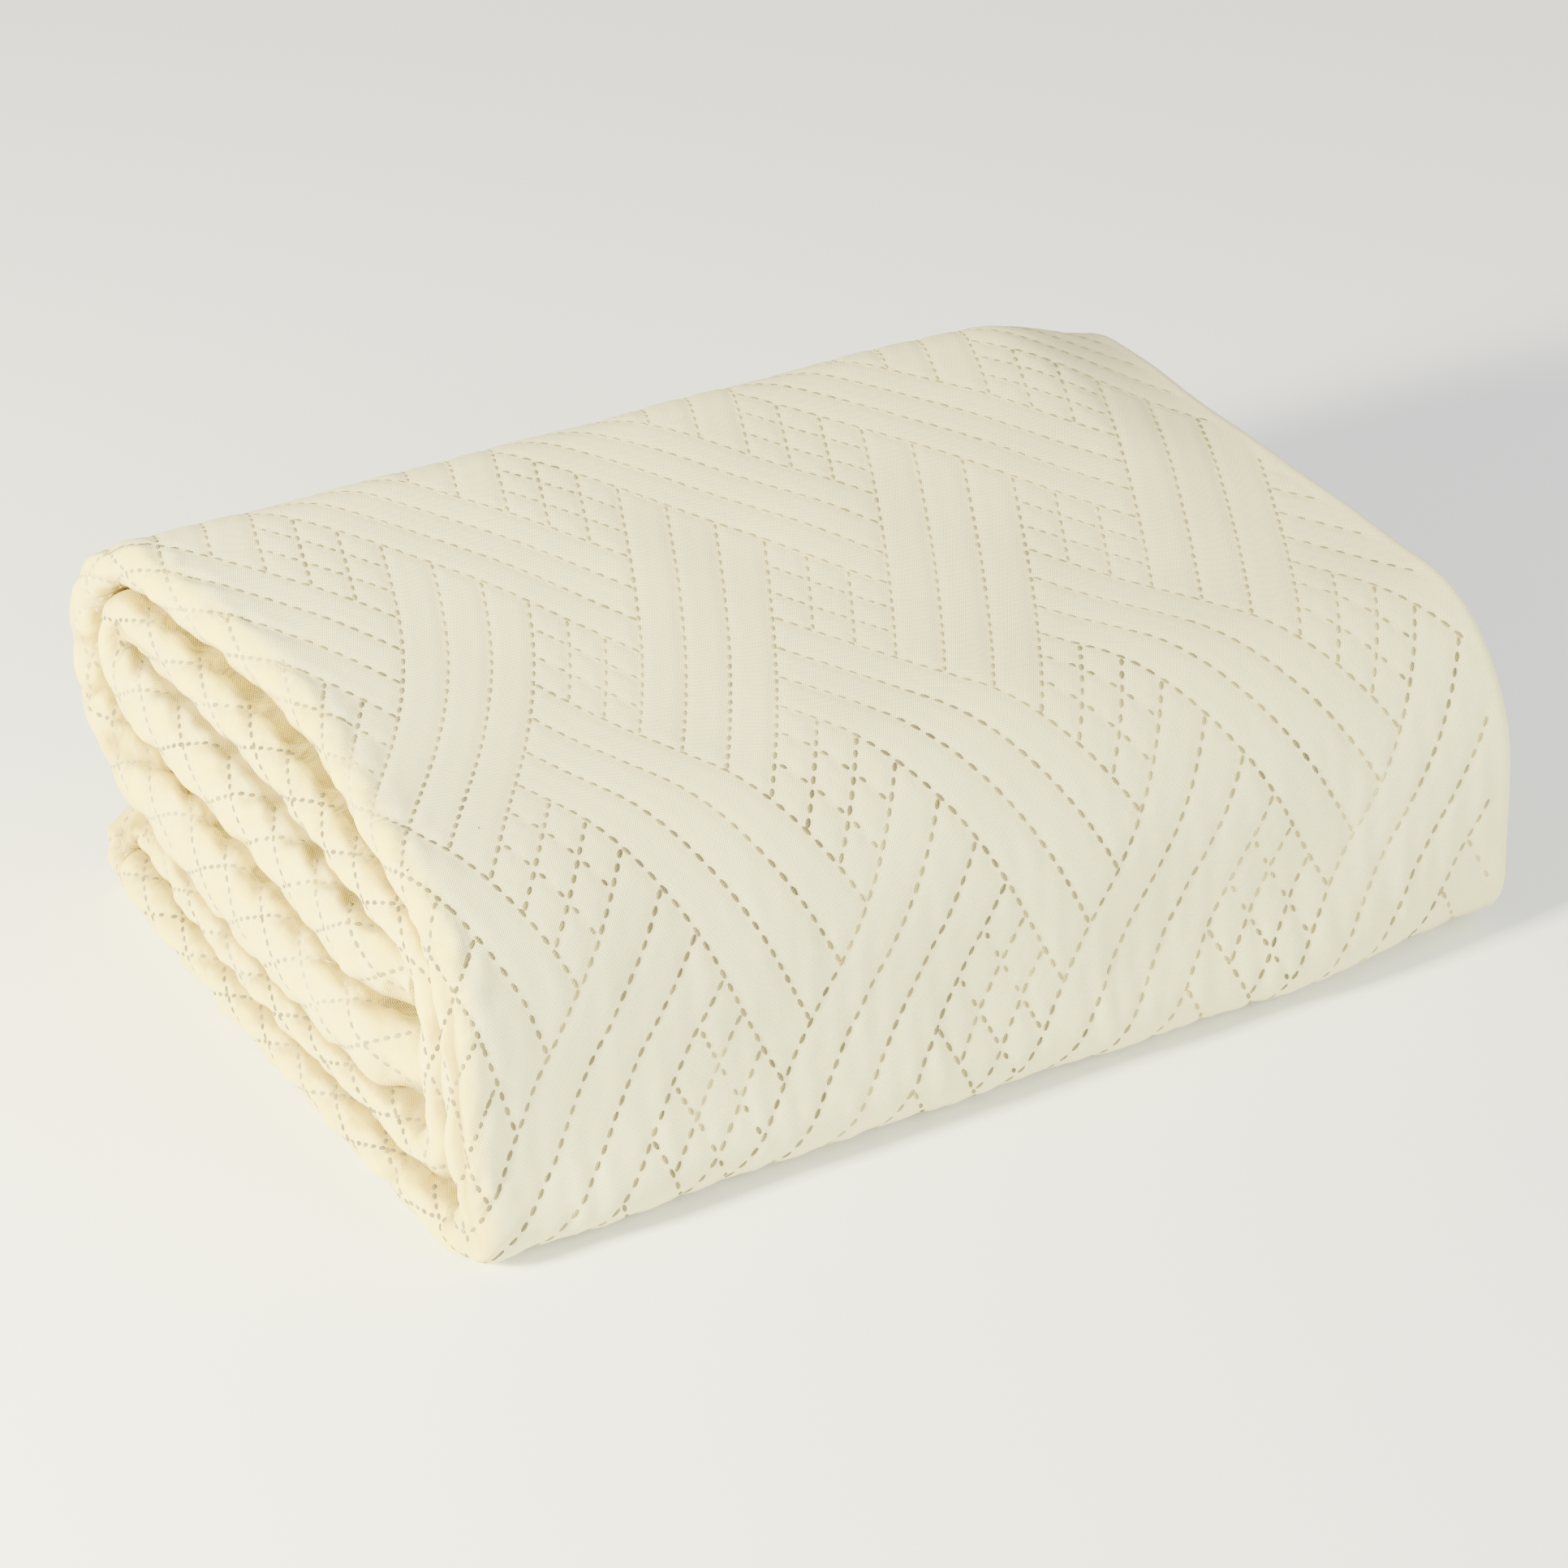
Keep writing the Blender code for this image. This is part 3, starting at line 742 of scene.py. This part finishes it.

# %% [markdown]
# ## Hollows
# In the photo the cream deepens to tan wherever the cloth at the left end lies in a hollow, as
# the light there has bounced off the cloth a few times. That tan is painted shade, mixed into the
# cloth's colour. One could tint each hollow by hand.
# Here a few short rays look out from each point, and the share of them that soon meets cloth
# again tells how deep in a hollow the point lies. The listed creases count as hollows too.

# %% How deep in a hollow each point lies
RAY_DIRECTIONS = 48
RAY_REACH = 0.055
RAY_START = 0.0008
LOWEST_RAY = 0.25
CREASE_PAINTED_SHADE = 260.0
END_EDGE = LEFT + 0.004
HOLLOW_SHARES = (0.01, 0.50)
cloth_tree = BVHTree.FromPolygons([v.co for v in bedspread_mesh.vertices],
                                  [f.vertices for f in bedspread_mesh.polygons])
ray_number = np.arange(RAY_DIRECTIONS) + 0.5
ray_height = 1.0 - 2.0 * ray_number / RAY_DIRECTIONS
ray_turn = np.pi * (1.0 + np.sqrt(5.0)) * ray_number
ray_side = np.sqrt(1.0 - ray_height**2)
rays = [Vector(ray) for ray in zip(ray_side * np.cos(ray_turn), ray_side * np.sin(ray_turn), ray_height)]


def met_share(place, normal):
    """Share of short rays from a point, on its outward side, that meet cloth again."""
    start = place + normal * RAY_START
    outward = [ray for ray in rays if ray.dot(normal) > LOWEST_RAY]
    met = [cloth_tree.ray_cast(start, ray, RAY_REACH)[0] is not None for ray in outward]
    return sum(met) / len(met)


hollow = np.zeros(len(bedspread_mesh.vertices))
at_end = np.flatnonzero(on_outer_face * (cloth_u < END_EDGE))
for k in at_end:
    vertex = bedspread_mesh.vertices[k]
    hollow[k] = met_share(vertex.co, vertex.normal)
hollow = ease(*HOLLOW_SHARES, hollow)
# the hollow attribute is the mask of the painted shade; the creases of the table get painted shade too
hollow += CREASE_PAINTED_SHADE * hand_creases(cloth_u, cloth_v) * on_outer_face
keep(bedspread_mesh, "hollow", np.clip(hollow, 0.0, 1.0))
print(len(at_end), "points looked out from, mean hollow", round(float(hollow[at_end].mean()), 3))

# %% [markdown]
# ## Cotton
# The cloth is a soft cream cotton with a fine twill, so close that it only softens the light.
# One node group makes that weave from two fine bands across each other and a little
# unevenness, and both the cloth and the pressed dashes use it.

# %% Weave group
def feed(slot, value):
    """Joins an output socket to an input, or sets a plain value on it."""
    if isinstance(value, bpy.types.NodeSocket):
        slot.id_data.links.new(value, slot)
    else:
        slot.default_value = value


def add_node(tree, kind, settings=(), **inputs):
    """A new node with its settings and its inputs, which are named with _ for a space."""
    node = tree.nodes.new(kind)
    for name, value in dict(settings).items():
        setattr(node, name, value)
    for name, value in inputs.items():
        feed(node.inputs[name.replace("_", " ")], value)
    return node


def maths(tree, operation, *values, kind="ShaderNodeMath"):
    """Output of a Math node, or of another kind of one; each value is a socket or a number."""
    node = add_node(tree, kind, {"operation": operation})
    for slot, value in zip(node.inputs, values):
        feed(slot, value)
    return node.outputs[0]


def add_sockets(group, in_out, rows):
    """Sockets of a node group; each row has a name, a kind and, for some, a value."""
    for name, kind, *value in rows:
        socket = group.interface.new_socket(name, in_out=in_out, socket_type="NodeSocket" + kind)
        if value:
            socket.default_value = value[0]


TWILL_PITCH = 0.00045
TWILL_ANGLE = np.radians(58.0)
SECOND_BAND = 0.5
SLUB_HEIGHT = 0.8
weave = bpy.data.node_groups.new("fine cotton twill", "ShaderNodeTree")
add_sockets(weave, "INPUT", [("Place", "Vector"), ("Pitch", "Float", TWILL_PITCH)])
add_sockets(weave, "OUTPUT", [("Height", "Float")])
weave_in = weave.nodes.new("NodeGroupInput").outputs
scaled = add_node(weave, "ShaderNodeVectorMath", {"operation": "SCALE"}, Vector=weave_in["Place"],
                  Scale=maths(weave, "DIVIDE", 1.0, weave_in["Pitch"])).outputs[0]
bands = []
for turn in (TWILL_ANGLE, TWILL_ANGLE + np.radians(90.0)):
    turned_place = add_node(weave, "ShaderNodeMapping", Vector=scaled, Rotation=(0.0, 0.0, turn))
    band = add_node(weave, "ShaderNodeTexWave", Vector=turned_place.outputs[0], Scale=0.16,
                    Distortion=0.6, Detail=1.0, Detail_Scale=0.8)
    bands.append(band.outputs["Fac"])
threads = maths(weave, "MULTIPLY_ADD", bands[1], SECOND_BAND, bands[0])
slubs = add_node(weave, "ShaderNodeTexNoise", Vector=scaled, Scale=0.09, Detail=3.0, Roughness=0.6)
height = maths(weave, "MULTIPLY_ADD", slubs.outputs["Fac"], SLUB_HEIGHT, threads)
add_node(weave, "NodeGroupOutput", Height=height)
print("twill pitch", TWILL_PITCH, "m")

# %% [markdown]
# ## Puckers beside the seams
# Pressing shortens the cloth along a line, so short wrinkles stand square to it on both sides.
# They are too fine for the mesh. A noise that is squeezed along the line and stretched across
# it gives them, faded out away from the line by the mesh's own attributes. The cream is painted
# yellower round the closed folds, as painted bounce light from layer to layer, and painted a deeper
# tan in the hollows and darker beside the seams, as painted shade. A yellow thread and two bits of
# lint lie where the photo has them.

# %% Cloth material
CREAM = (0.84, 0.805, 0.44, 1.0)
PAINTED_BOUNCE_CREAM = (0.85, 0.73, 0.075, 1.0)
TAN_AND_PAINTED_SEAM_SHADE = (0.71, 0.62, 0.26, 1.0)
PAINTED_HOLLOW_SHADE = (0.38, 0.28, 0.035, 1.0)
COTTON_ROUGHNESS = 0.88
COTTON_SHEEN = {"Specular IOR Level": 0.25, "Sheen Weight": 0.12, "Sheen Roughness": 0.6}
PAINTED_HOLLOW_AMOUNT = 0.90
SLACK_SEAM_PAINTED_SHADE = 0.45
FLAT_SEAM_PAINTED_SHADE = 0.07
MOTTLE_AMOUNT = 0.20
SLACK_PUCKERS = 0.92
FLAT_PUCKERS = 0.08
PUCKER_LONG = 0.017
PUCKER_SHORT = 0.0050
PUCKER_DEPTH = 0.0021
WEAVE_DEPTH = 0.00014
SEAM_TURN = np.arctan(SLOPE)


def cotton(name, colour):
    """A cream cotton material: its tree, shader and weave node, for more to be added."""
    material = plain_material(name, colour, COTTON_ROUGHNESS)
    tree = material.node_tree
    shader = tree.nodes["Principled BSDF"]
    for socket, value in COTTON_SHEEN.items():
        shader.inputs[socket].default_value = value
    return material, tree, shader, add_node(tree, "ShaderNodeGroup", {"node_tree": weave}, Pitch=TWILL_PITCH)


def attribute(tree, name):
    """A float attribute of the mesh, as a socket."""
    return add_node(tree, "ShaderNodeAttribute", {"attribute_name": name}).outputs["Fac"]


def pucker(tree, place, turn, near):
    """Wrinkles square to the seams of one slant, strongest beside them."""
    along = add_node(tree, "ShaderNodeMapping", {"vector_type": "TEXTURE"}, Vector=place,
                     Rotation=(0.0, 0.0, turn), Scale=(PUCKER_SHORT, PUCKER_LONG, 1.0))
    wrinkles = add_node(tree, "ShaderNodeTexNoise", Vector=along.outputs[0], Scale=1.0, Detail=0.6,
                        Roughness=0.5, Distortion=0.25)
    return maths(tree, "MULTIPLY", wrinkles.outputs["Fac"], near)


def mix_colour(tree, first, second, amount):
    """A Mix node's colour; each side is a colour or a socket."""
    node = add_node(tree, "ShaderNodeMix", {"data_type": "RGBA"}, A=first, B=second, Factor=amount)
    return node.outputs["Result"]


def dress(tree, shader, shade, height, distance):
    """Gives a cotton its shade and its bumps."""
    bump = add_node(tree, "ShaderNodeBump", Height=height, Strength=1.0, Distance=distance)
    feed(shader.inputs["Normal"], bump.outputs[0])
    feed(shader.inputs["Base Color"], shade)


cream_cotton, tree, shader, woven = cotton("cream embossed cotton", CREAM)
place_on_cloth = add_node(tree, "ShaderNodeUVMap", {"uv_map": "flat_cloth"}).outputs[0]
feed(woven.inputs["Place"], place_on_cloth)
near_rising, near_falling = attribute(tree, "near_rising"), attribute(tree, "near_falling")
slack_here = attribute(tree, "slack")
beside = maths(tree, "ADD", pucker(tree, place_on_cloth, np.pi - SEAM_TURN, near_rising),
               pucker(tree, place_on_cloth, SEAM_TURN, near_falling))
strength = maths(tree, "MULTIPLY_ADD", slack_here, SLACK_PUCKERS, FLAT_PUCKERS)
pucker_height = maths(tree, "MULTIPLY", maths(tree, "MULTIPLY", beside, strength), PUCKER_DEPTH)
height = maths(tree, "MULTIPLY_ADD", woven.outputs["Height"], WEAVE_DEPTH, pucker_height)

mottle = add_node(tree, "ShaderNodeTexNoise", Vector=place_on_cloth, Scale=26.0, Detail=3.0, Roughness=0.6)
seams_here = maths(tree, "MAXIMUM", near_rising, near_falling)
seam_shade_amount = maths(tree, "MULTIPLY_ADD", slack_here, SLACK_SEAM_PAINTED_SHADE, FLAT_SEAM_PAINTED_SHADE)
painted_seam_shade = maths(tree, "MULTIPLY", seams_here, seam_shade_amount)
# the tan goes on as a random mottle, the cloth's own tone, and as painted shade beside the seams, strongest
# round the closed folds
amount = maths(tree, "MULTIPLY_ADD", mottle.outputs["Fac"], MOTTLE_AMOUNT, painted_seam_shade)
painted_hollow_amount = maths(tree, "MULTIPLY", attribute(tree, "hollow"), PAINTED_HOLLOW_AMOUNT)
# painted bounce light: the cream is yellower round the closed folds
shade = mix_colour(tree, CREAM, PAINTED_BOUNCE_CREAM, slack_here)
shade = mix_colour(tree, shade, TAN_AND_PAINTED_SEAM_SHADE, amount)
# painted shade: deeper tan in the hollows of the left end and in the creases of the table
shade = mix_colour(tree, shade, PAINTED_HOLLOW_SHADE, painted_hollow_amount)
Fleck = namedtuple("Fleck", "name u v turn reach width colour")
FLECKS = [Fleck("yellow thread", -0.2430, 0.482, 53, 0.0026, 0.0007, (0.75, 0.50, 0.06, 1.0)),
          Fleck("dark lint", -0.2720, 0.7355, 20, 0.0011, 0.0006, (0.10, 0.09, 0.08, 1.0)),
          Fleck("grey lint", -0.2320, 0.7245, 100, 0.0010, 0.0006, (0.22, 0.21, 0.22, 1.0))]
for fleck in FLECKS:
    here = add_node(tree, "ShaderNodeMapping", {"vector_type": "TEXTURE"}, Vector=place_on_cloth,
                    Location=(fleck.u, fleck.v, 0.0), Rotation=(0.0, 0.0, np.radians(fleck.turn)),
                    Scale=(fleck.reach, fleck.width, 1.0))
    away = add_node(tree, "ShaderNodeVectorMath", {"operation": "LENGTH"}, Vector=here.outputs[0])
    shade = mix_colour(tree, shade, fleck.colour, maths(tree, "LESS_THAN", away.outputs["Value"], 1.0))
dress(tree, shader, shade, height, 1.0)
folded_bedspread.data.materials.append(cream_cotton)
print("puckers", PUCKER_SHORT, "by", PUCKER_LONG, "m")

# %% [markdown]
# ## Pressed dashes
# Each line is a row of small oval dents, about 5 mm long, where the layers are welded together.
# Thousands of them are one small dish repeated along the lines, so Geometry Nodes make them:
# curves along the pressed stretches, points at an even pitch, a dish on each point, and then
# every point of every dish is drawn onto the cloth so that it follows its curve. Round the
# closed folds the cloth is gathered, so the dashes there are shorter and closer together, and
# the falling lines that fill the open diamonds are broken at each line that they cross.

# %% Lines along the cloth
LINE_STEP = 0.003
LINE_TRIM = 0.0038
FILLER_TRIM = 0.0050
HEM_CLEAR = 0.010
FOLD_CLEAR = 0.002
STRIP_END_CLEAR = 0.004
FOLD_EDGE = LEFT - 0.001
STRETCH = np.sqrt(1.0 + SLOPE**2) / 2.0
FOLD_GATHER = 0.74
FILLER_GATHER = 0.78
TOP_FADE = 0.60
RIGHT_FADE = 0.30
LEFT_EDGE_FADE = 0.40
FOLD_FADE = 0.08
FADE_LIMIT = 0.80
FADE_PATCHES = Waves(0.30, 0.09, 0.09, 31)
TOP_EDGE = path.span("top")[1]
# from and to of each ease
OFF_TOP, TO_RIGHT = (TOP_EDGE - 0.06, TOP_EDGE + 0.06), (-0.15, 0.20)
FROM_LEFT, OFF_FOLD = (LEFT, LEFT + 0.10), (LEFT - 0.010, LEFT)


def shown_place(u, v):
    """Whether a place on the flat cloth is seen: on the closed folds, or on an outer face."""
    on_fold = (u < FOLD_EDGE) & (u > LEFT - FOLD_FACE + FOLD_CLEAR)
    on_fold &= (v > STRIP_END_CLEAR) & (v < path.face_length - STRIP_END_CLEAR)
    on_run = (u >= FOLD_EDGE) & (u < RIGHT - HEM_CLEAR)
    stop = path.span("low front")[1]
    low_start, low_stop = path.span("lower bend")
    return on_fold | on_run & ((v > BACK_START) & (v < stop) | (v > low_start) & (v < low_stop))


def stretches(rising):
    """Each stretch of each line: its place, its start and end across the other slant, its trim."""
    lines, crossings = (RISING, FALLING) if rising else (FALLING, RISING)
    numbers = np.arange(len(crossings) - 1)
    for k, place_across in enumerate(lines):
        here = pressed(rising, k, numbers)
        changes = np.flatnonzero(np.diff(np.concatenate([[0], here.astype(int), [0]])))
        for start, stop in zip(changes[::2], changes[1::2]):
            if rising or k % COUNT < BAND_LINES:
                yield place_across, crossings[start], crossings[stop], LINE_TRIM
            else:
                for n in range(start, stop):
                    yield place_across, crossings[n], crossings[n + 1], FILLER_TRIM


line_points, line_edges, gather = [], [], []
for rising in (True, False):
    for place_across, start, stop, cut in stretches(rising):
        trim = cut / STRETCH
        count = max(2, int((stop - start) * STRETCH / LINE_STEP))
        u_here, v_here = meeting(rising, place_across, np.linspace(start + trim, stop - trim, count))
        du, dv = drift(u_here, v_here)
        u_here, v_here = u_here + du, v_here + dv
        seen, at_fold = shown_place(u_here, v_here), u_here < LEFT
        for k in np.flatnonzero(seen):
            if k and seen[k - 1] and at_fold[k] == at_fold[k - 1]:
                line_edges.append((len(line_points) - 1, len(line_points)))
            line_points.append((u_here[k], v_here[k]))
            gather.append(FOLD_GATHER if at_fold[k] else FILLER_GATHER if cut == FILLER_TRIM else 1.0)
line_u, line_v = np.array(line_points).T
lines_mesh = bpy.data.meshes.new("pressed lines")
lines_mesh.from_pydata(on_face(line_u, line_v).tolist(), line_edges, [])
outwards = np.array([cloth_tree.find_nearest(v.co)[1] for v in lines_mesh.vertices])
lines_mesh.attributes.new("outwards", "FLOAT_VECTOR", "POINT").data.foreach_set("vector", outwards.ravel())
keep(lines_mesh, "gather", gather)
# dashes fade toward the tan on the top (less at its left edge), towards the right of the front, a little
# round the closed folds, and in random patches
on_top = 1.0 - ease(*OFF_TOP, line_v)
on_top *= LEFT_EDGE_FADE + (1.0 - LEFT_EDGE_FADE) * ease(*FROM_LEFT, line_u)
worn = TOP_FADE * on_top + RIGHT_FADE * (1.0 - on_top) * ease(*TO_RIGHT, line_u)
worn += FOLD_FADE * (1.0 - ease(*OFF_FOLD, line_u)) + waves(line_u, line_v, FADE_PATCHES)
keep(lines_mesh, "worn", np.clip(worn, 0.0, FADE_LIMIT))
dash_lines = add_object("pressed_dashes", lines_mesh)
print(len(line_points), "points on lines")

# %% One dish
DISH_SIDES = 8
# each row is a ring's radius and its height over the cloth
DISH_RINGS = [(1.0, -0.00012), (0.80, 0.00022)]
DISH_MIDDLE = 0.00006
dish_turns = 2.0 * np.pi * np.arange(DISH_SIDES) / DISH_SIDES
dish_points, dish_heights, dish_rim = [], [], []
for radius, height_here in DISH_RINGS:
    dish_points += [(radius * np.cos(turn), radius * np.sin(turn), 0.0) for turn in dish_turns]
    dish_heights += [height_here] * DISH_SIDES
    dish_rim += [radius] * DISH_SIDES
dish_points.append((0.0, 0.0, 0.0))
dish_heights.append(DISH_MIDDLE)
dish_rim.append(0.0)
sides = [(k, (k + 1) % DISH_SIDES) for k in range(DISH_SIDES)]
dish_faces = [(k, after, DISH_SIDES + after, DISH_SIDES + k) for k, after in sides]
dish_faces += [(DISH_SIDES + k, DISH_SIDES + after, 2 * DISH_SIDES) for k, after in sides]
dish_mesh = bpy.data.meshes.new("one dash")
dish_mesh.from_pydata(dish_points, [], dish_faces)
keep(dish_mesh, "dish_height", dish_heights)
keep(dish_mesh, "rim", dish_rim)
dish_mesh.shade_smooth()
one_dash = bpy.data.objects.new("one dash", dish_mesh)
print(len(dish_faces), "faces in a dash")

# %% Dash material
DASH_SHADE = (0.13, 0.108, 0.052, 1.0)
RIM_START = 0.90
dash_cotton, tree, shader, woven = cotton("pressed dash cotton", DASH_SHADE)
object_place = add_node(tree, "ShaderNodeTexCoord").outputs["Object"]
feed(woven.inputs["Place"], object_place)
edge = add_node(tree, "ShaderNodeMapRange", Value=attribute(tree, "rim"), From_Min=RIM_START, From_Max=1.0)
amount = maths(tree, "MAXIMUM", edge.outputs[0], attribute(tree, "fade"))
# here the tan is only the dash's lighter rim and its fade
shade = mix_colour(tree, DASH_SHADE, TAN_AND_PAINTED_SEAM_SHADE, amount)
dress(tree, shader, shade, woven.outputs["Height"], WEAVE_DEPTH)
print("dash colour", DASH_SHADE[:3])

# %% Geometry Nodes: dashes along the lines
FADE_SPREAD = 0.20
FADE_SEED_STEP = 3
dashes = bpy.data.node_groups.new("dashes along lines", "GeometryNodeTree")
add_sockets(dashes, "INPUT", [
    ("Geometry", "Geometry"), ("Pitch", "Float", 0.0076), ("Dash Length", "Float", 0.0061),
    ("Dash Width", "Float", 0.0026), ("Unevenness", "Float", 0.14), ("Seed", "Int", 7),
    ("Dash", "Object"), ("Cloth", "Object"), ("Finish", "Material")])
add_sockets(dashes, "OUTPUT", [("Geometry", "Geometry")])
given = dashes.nodes.new("NodeGroupInput").outputs


def named(name, kind="FLOAT"):
    """A named attribute inside the dash tree."""
    node = add_node(dashes, "GeometryNodeInputNamedAttribute", {"data_type": kind}, Name=name)
    return node.outputs["Attribute"]


def typed(sockets, name, kind):
    """The socket of this name and kind, where a node has several of one name."""
    return next(s for s in sockets if s.name == name and s.type == kind)


def random_value(low, high, seed_step):
    """A random number for each dash, from the tree's seed."""
    node = add_node(dashes, "FunctionNodeRandomValue", Seed=maths(dashes, "ADD", given["Seed"], seed_step))
    feed(typed(node.inputs, "Min", "VALUE"), low)
    feed(typed(node.inputs, "Max", "VALUE"), high)
    return typed(node.outputs, "Value", "VALUE")


as_curves = add_node(dashes, "GeometryNodeMeshToCurve", Mesh=given["Geometry"])
even_points = add_node(dashes, "GeometryNodeResampleCurve", {"mode": "LENGTH"}, Curve=as_curves.outputs[0],
                       Length=maths(dashes, "MULTIPLY", given["Pitch"], named("gather")))
tangent = add_node(dashes, "GeometryNodeInputTangent")
dash_turn = add_node(dashes, "FunctionNodeAxesToRotation", {"primary_axis": "Z", "secondary_axis": "X"},
                     Primary_Axis=named("outwards", "FLOAT_VECTOR"), Secondary_Axis=tangent.outputs[0])
dash_object = add_node(dashes, "GeometryNodeObjectInfo", Object=given["Dash"])
smallest = maths(dashes, "SUBTRACT", 1.0, given["Unevenness"])
size_here = random_value(smallest, 1.0, 0)
length_here = maths(dashes, "MULTIPLY", size_here, named("gather"))
scale = add_node(dashes, "ShaderNodeCombineXYZ", Z=1.0)
for axis, name, share in (("X", "Dash Length", length_here), ("Y", "Dash Width", size_here)):
    half = maths(dashes, "MULTIPLY", given[name], 0.5)
    feed(scale.inputs[axis], maths(dashes, "MULTIPLY", half, share))
on_points = add_node(dashes, "GeometryNodeInstanceOnPoints", Points=even_points.outputs[0],
                     Instance=dash_object.outputs["Geometry"], Rotation=dash_turn.outputs[0],
                     Scale=scale.outputs[0])
faded = add_node(dashes, "GeometryNodeStoreNamedAttribute", {"domain": "INSTANCE"}, Name="fade",
                 Geometry=on_points.outputs[0])
fade_here = maths(dashes, "ADD", named("worn"), random_value(0.0, FADE_SPREAD, FADE_SEED_STEP))
feed(typed(faded.inputs, "Value", "VALUE"), fade_here)
real = add_node(dashes, "GeometryNodeRealizeInstances", Geometry=faded.outputs[0])

cloth_shape = add_node(dashes, "GeometryNodeObjectInfo", Object=given["Cloth"]).outputs["Geometry"]
nearest = add_node(dashes, "GeometryNodeProximity", {"target_element": "FACES"})
feed(nearest.inputs[0], cloth_shape)
cloth_normal = add_node(dashes, "GeometryNodeSampleNearestSurface", {"data_type": "FLOAT_VECTOR"},
                        Mesh=cloth_shape)
feed(typed(cloth_normal.inputs, "Value", "VECTOR"), add_node(dashes, "GeometryNodeInputNormal").outputs[0])
lifted = maths(dashes, "MULTIPLY_ADD", typed(cloth_normal.outputs, "Value", "VECTOR"),
               named("dish_height"), nearest.outputs["Position"], kind="ShaderNodeVectorMath")
on_cloth = add_node(dashes, "GeometryNodeSetPosition", Geometry=real.outputs[0], Position=lifted)
finish = add_node(dashes, "GeometryNodeSetMaterial", Geometry=on_cloth.outputs[0], Material=given["Finish"])
add_node(dashes, "NodeGroupOutput", Geometry=finish.outputs[0])
print(len(dashes.nodes), "nodes in the dash tree")

# %% Turn the dashes into a plain mesh
def as_plain_mesh(source, tree, values):
    """Runs a Geometry Nodes tree on an object and gives a new object with the plain result."""
    modifier = source.modifiers.new(tree.name, "NODES")
    modifier.node_group = tree
    for item in tree.interface.items_tree:
        if item.in_out == "INPUT" and item.name in values:
            modifier[item.identifier] = values[item.name]
    bpy.context.view_layer.update()
    evaluated = source.evaluated_get(bpy.context.evaluated_depsgraph_get())
    mesh = bpy.data.meshes.new_from_object(evaluated)
    name = source.name
    bpy.data.objects.remove(source)
    return add_object(name, mesh)


pressed_dashes = as_plain_mesh(dash_lines, dashes,
                               {"Dash": one_dash, "Cloth": folded_bedspread, "Finish": dash_cotton})
bpy.data.objects.remove(one_dash)
print(pressed_dashes.name, len(pressed_dashes.data.polygons), "faces")

# %% [markdown]
# ## Riding on the body
# The bedspread stands for the imported solid and rides on its only body, with the dashes that
# go with it, and the imported solid is hidden.

# %% Ride and replace
for piece in (folded_bedspread, pressed_dashes):
    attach(piece, "root")
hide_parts("bedspread")
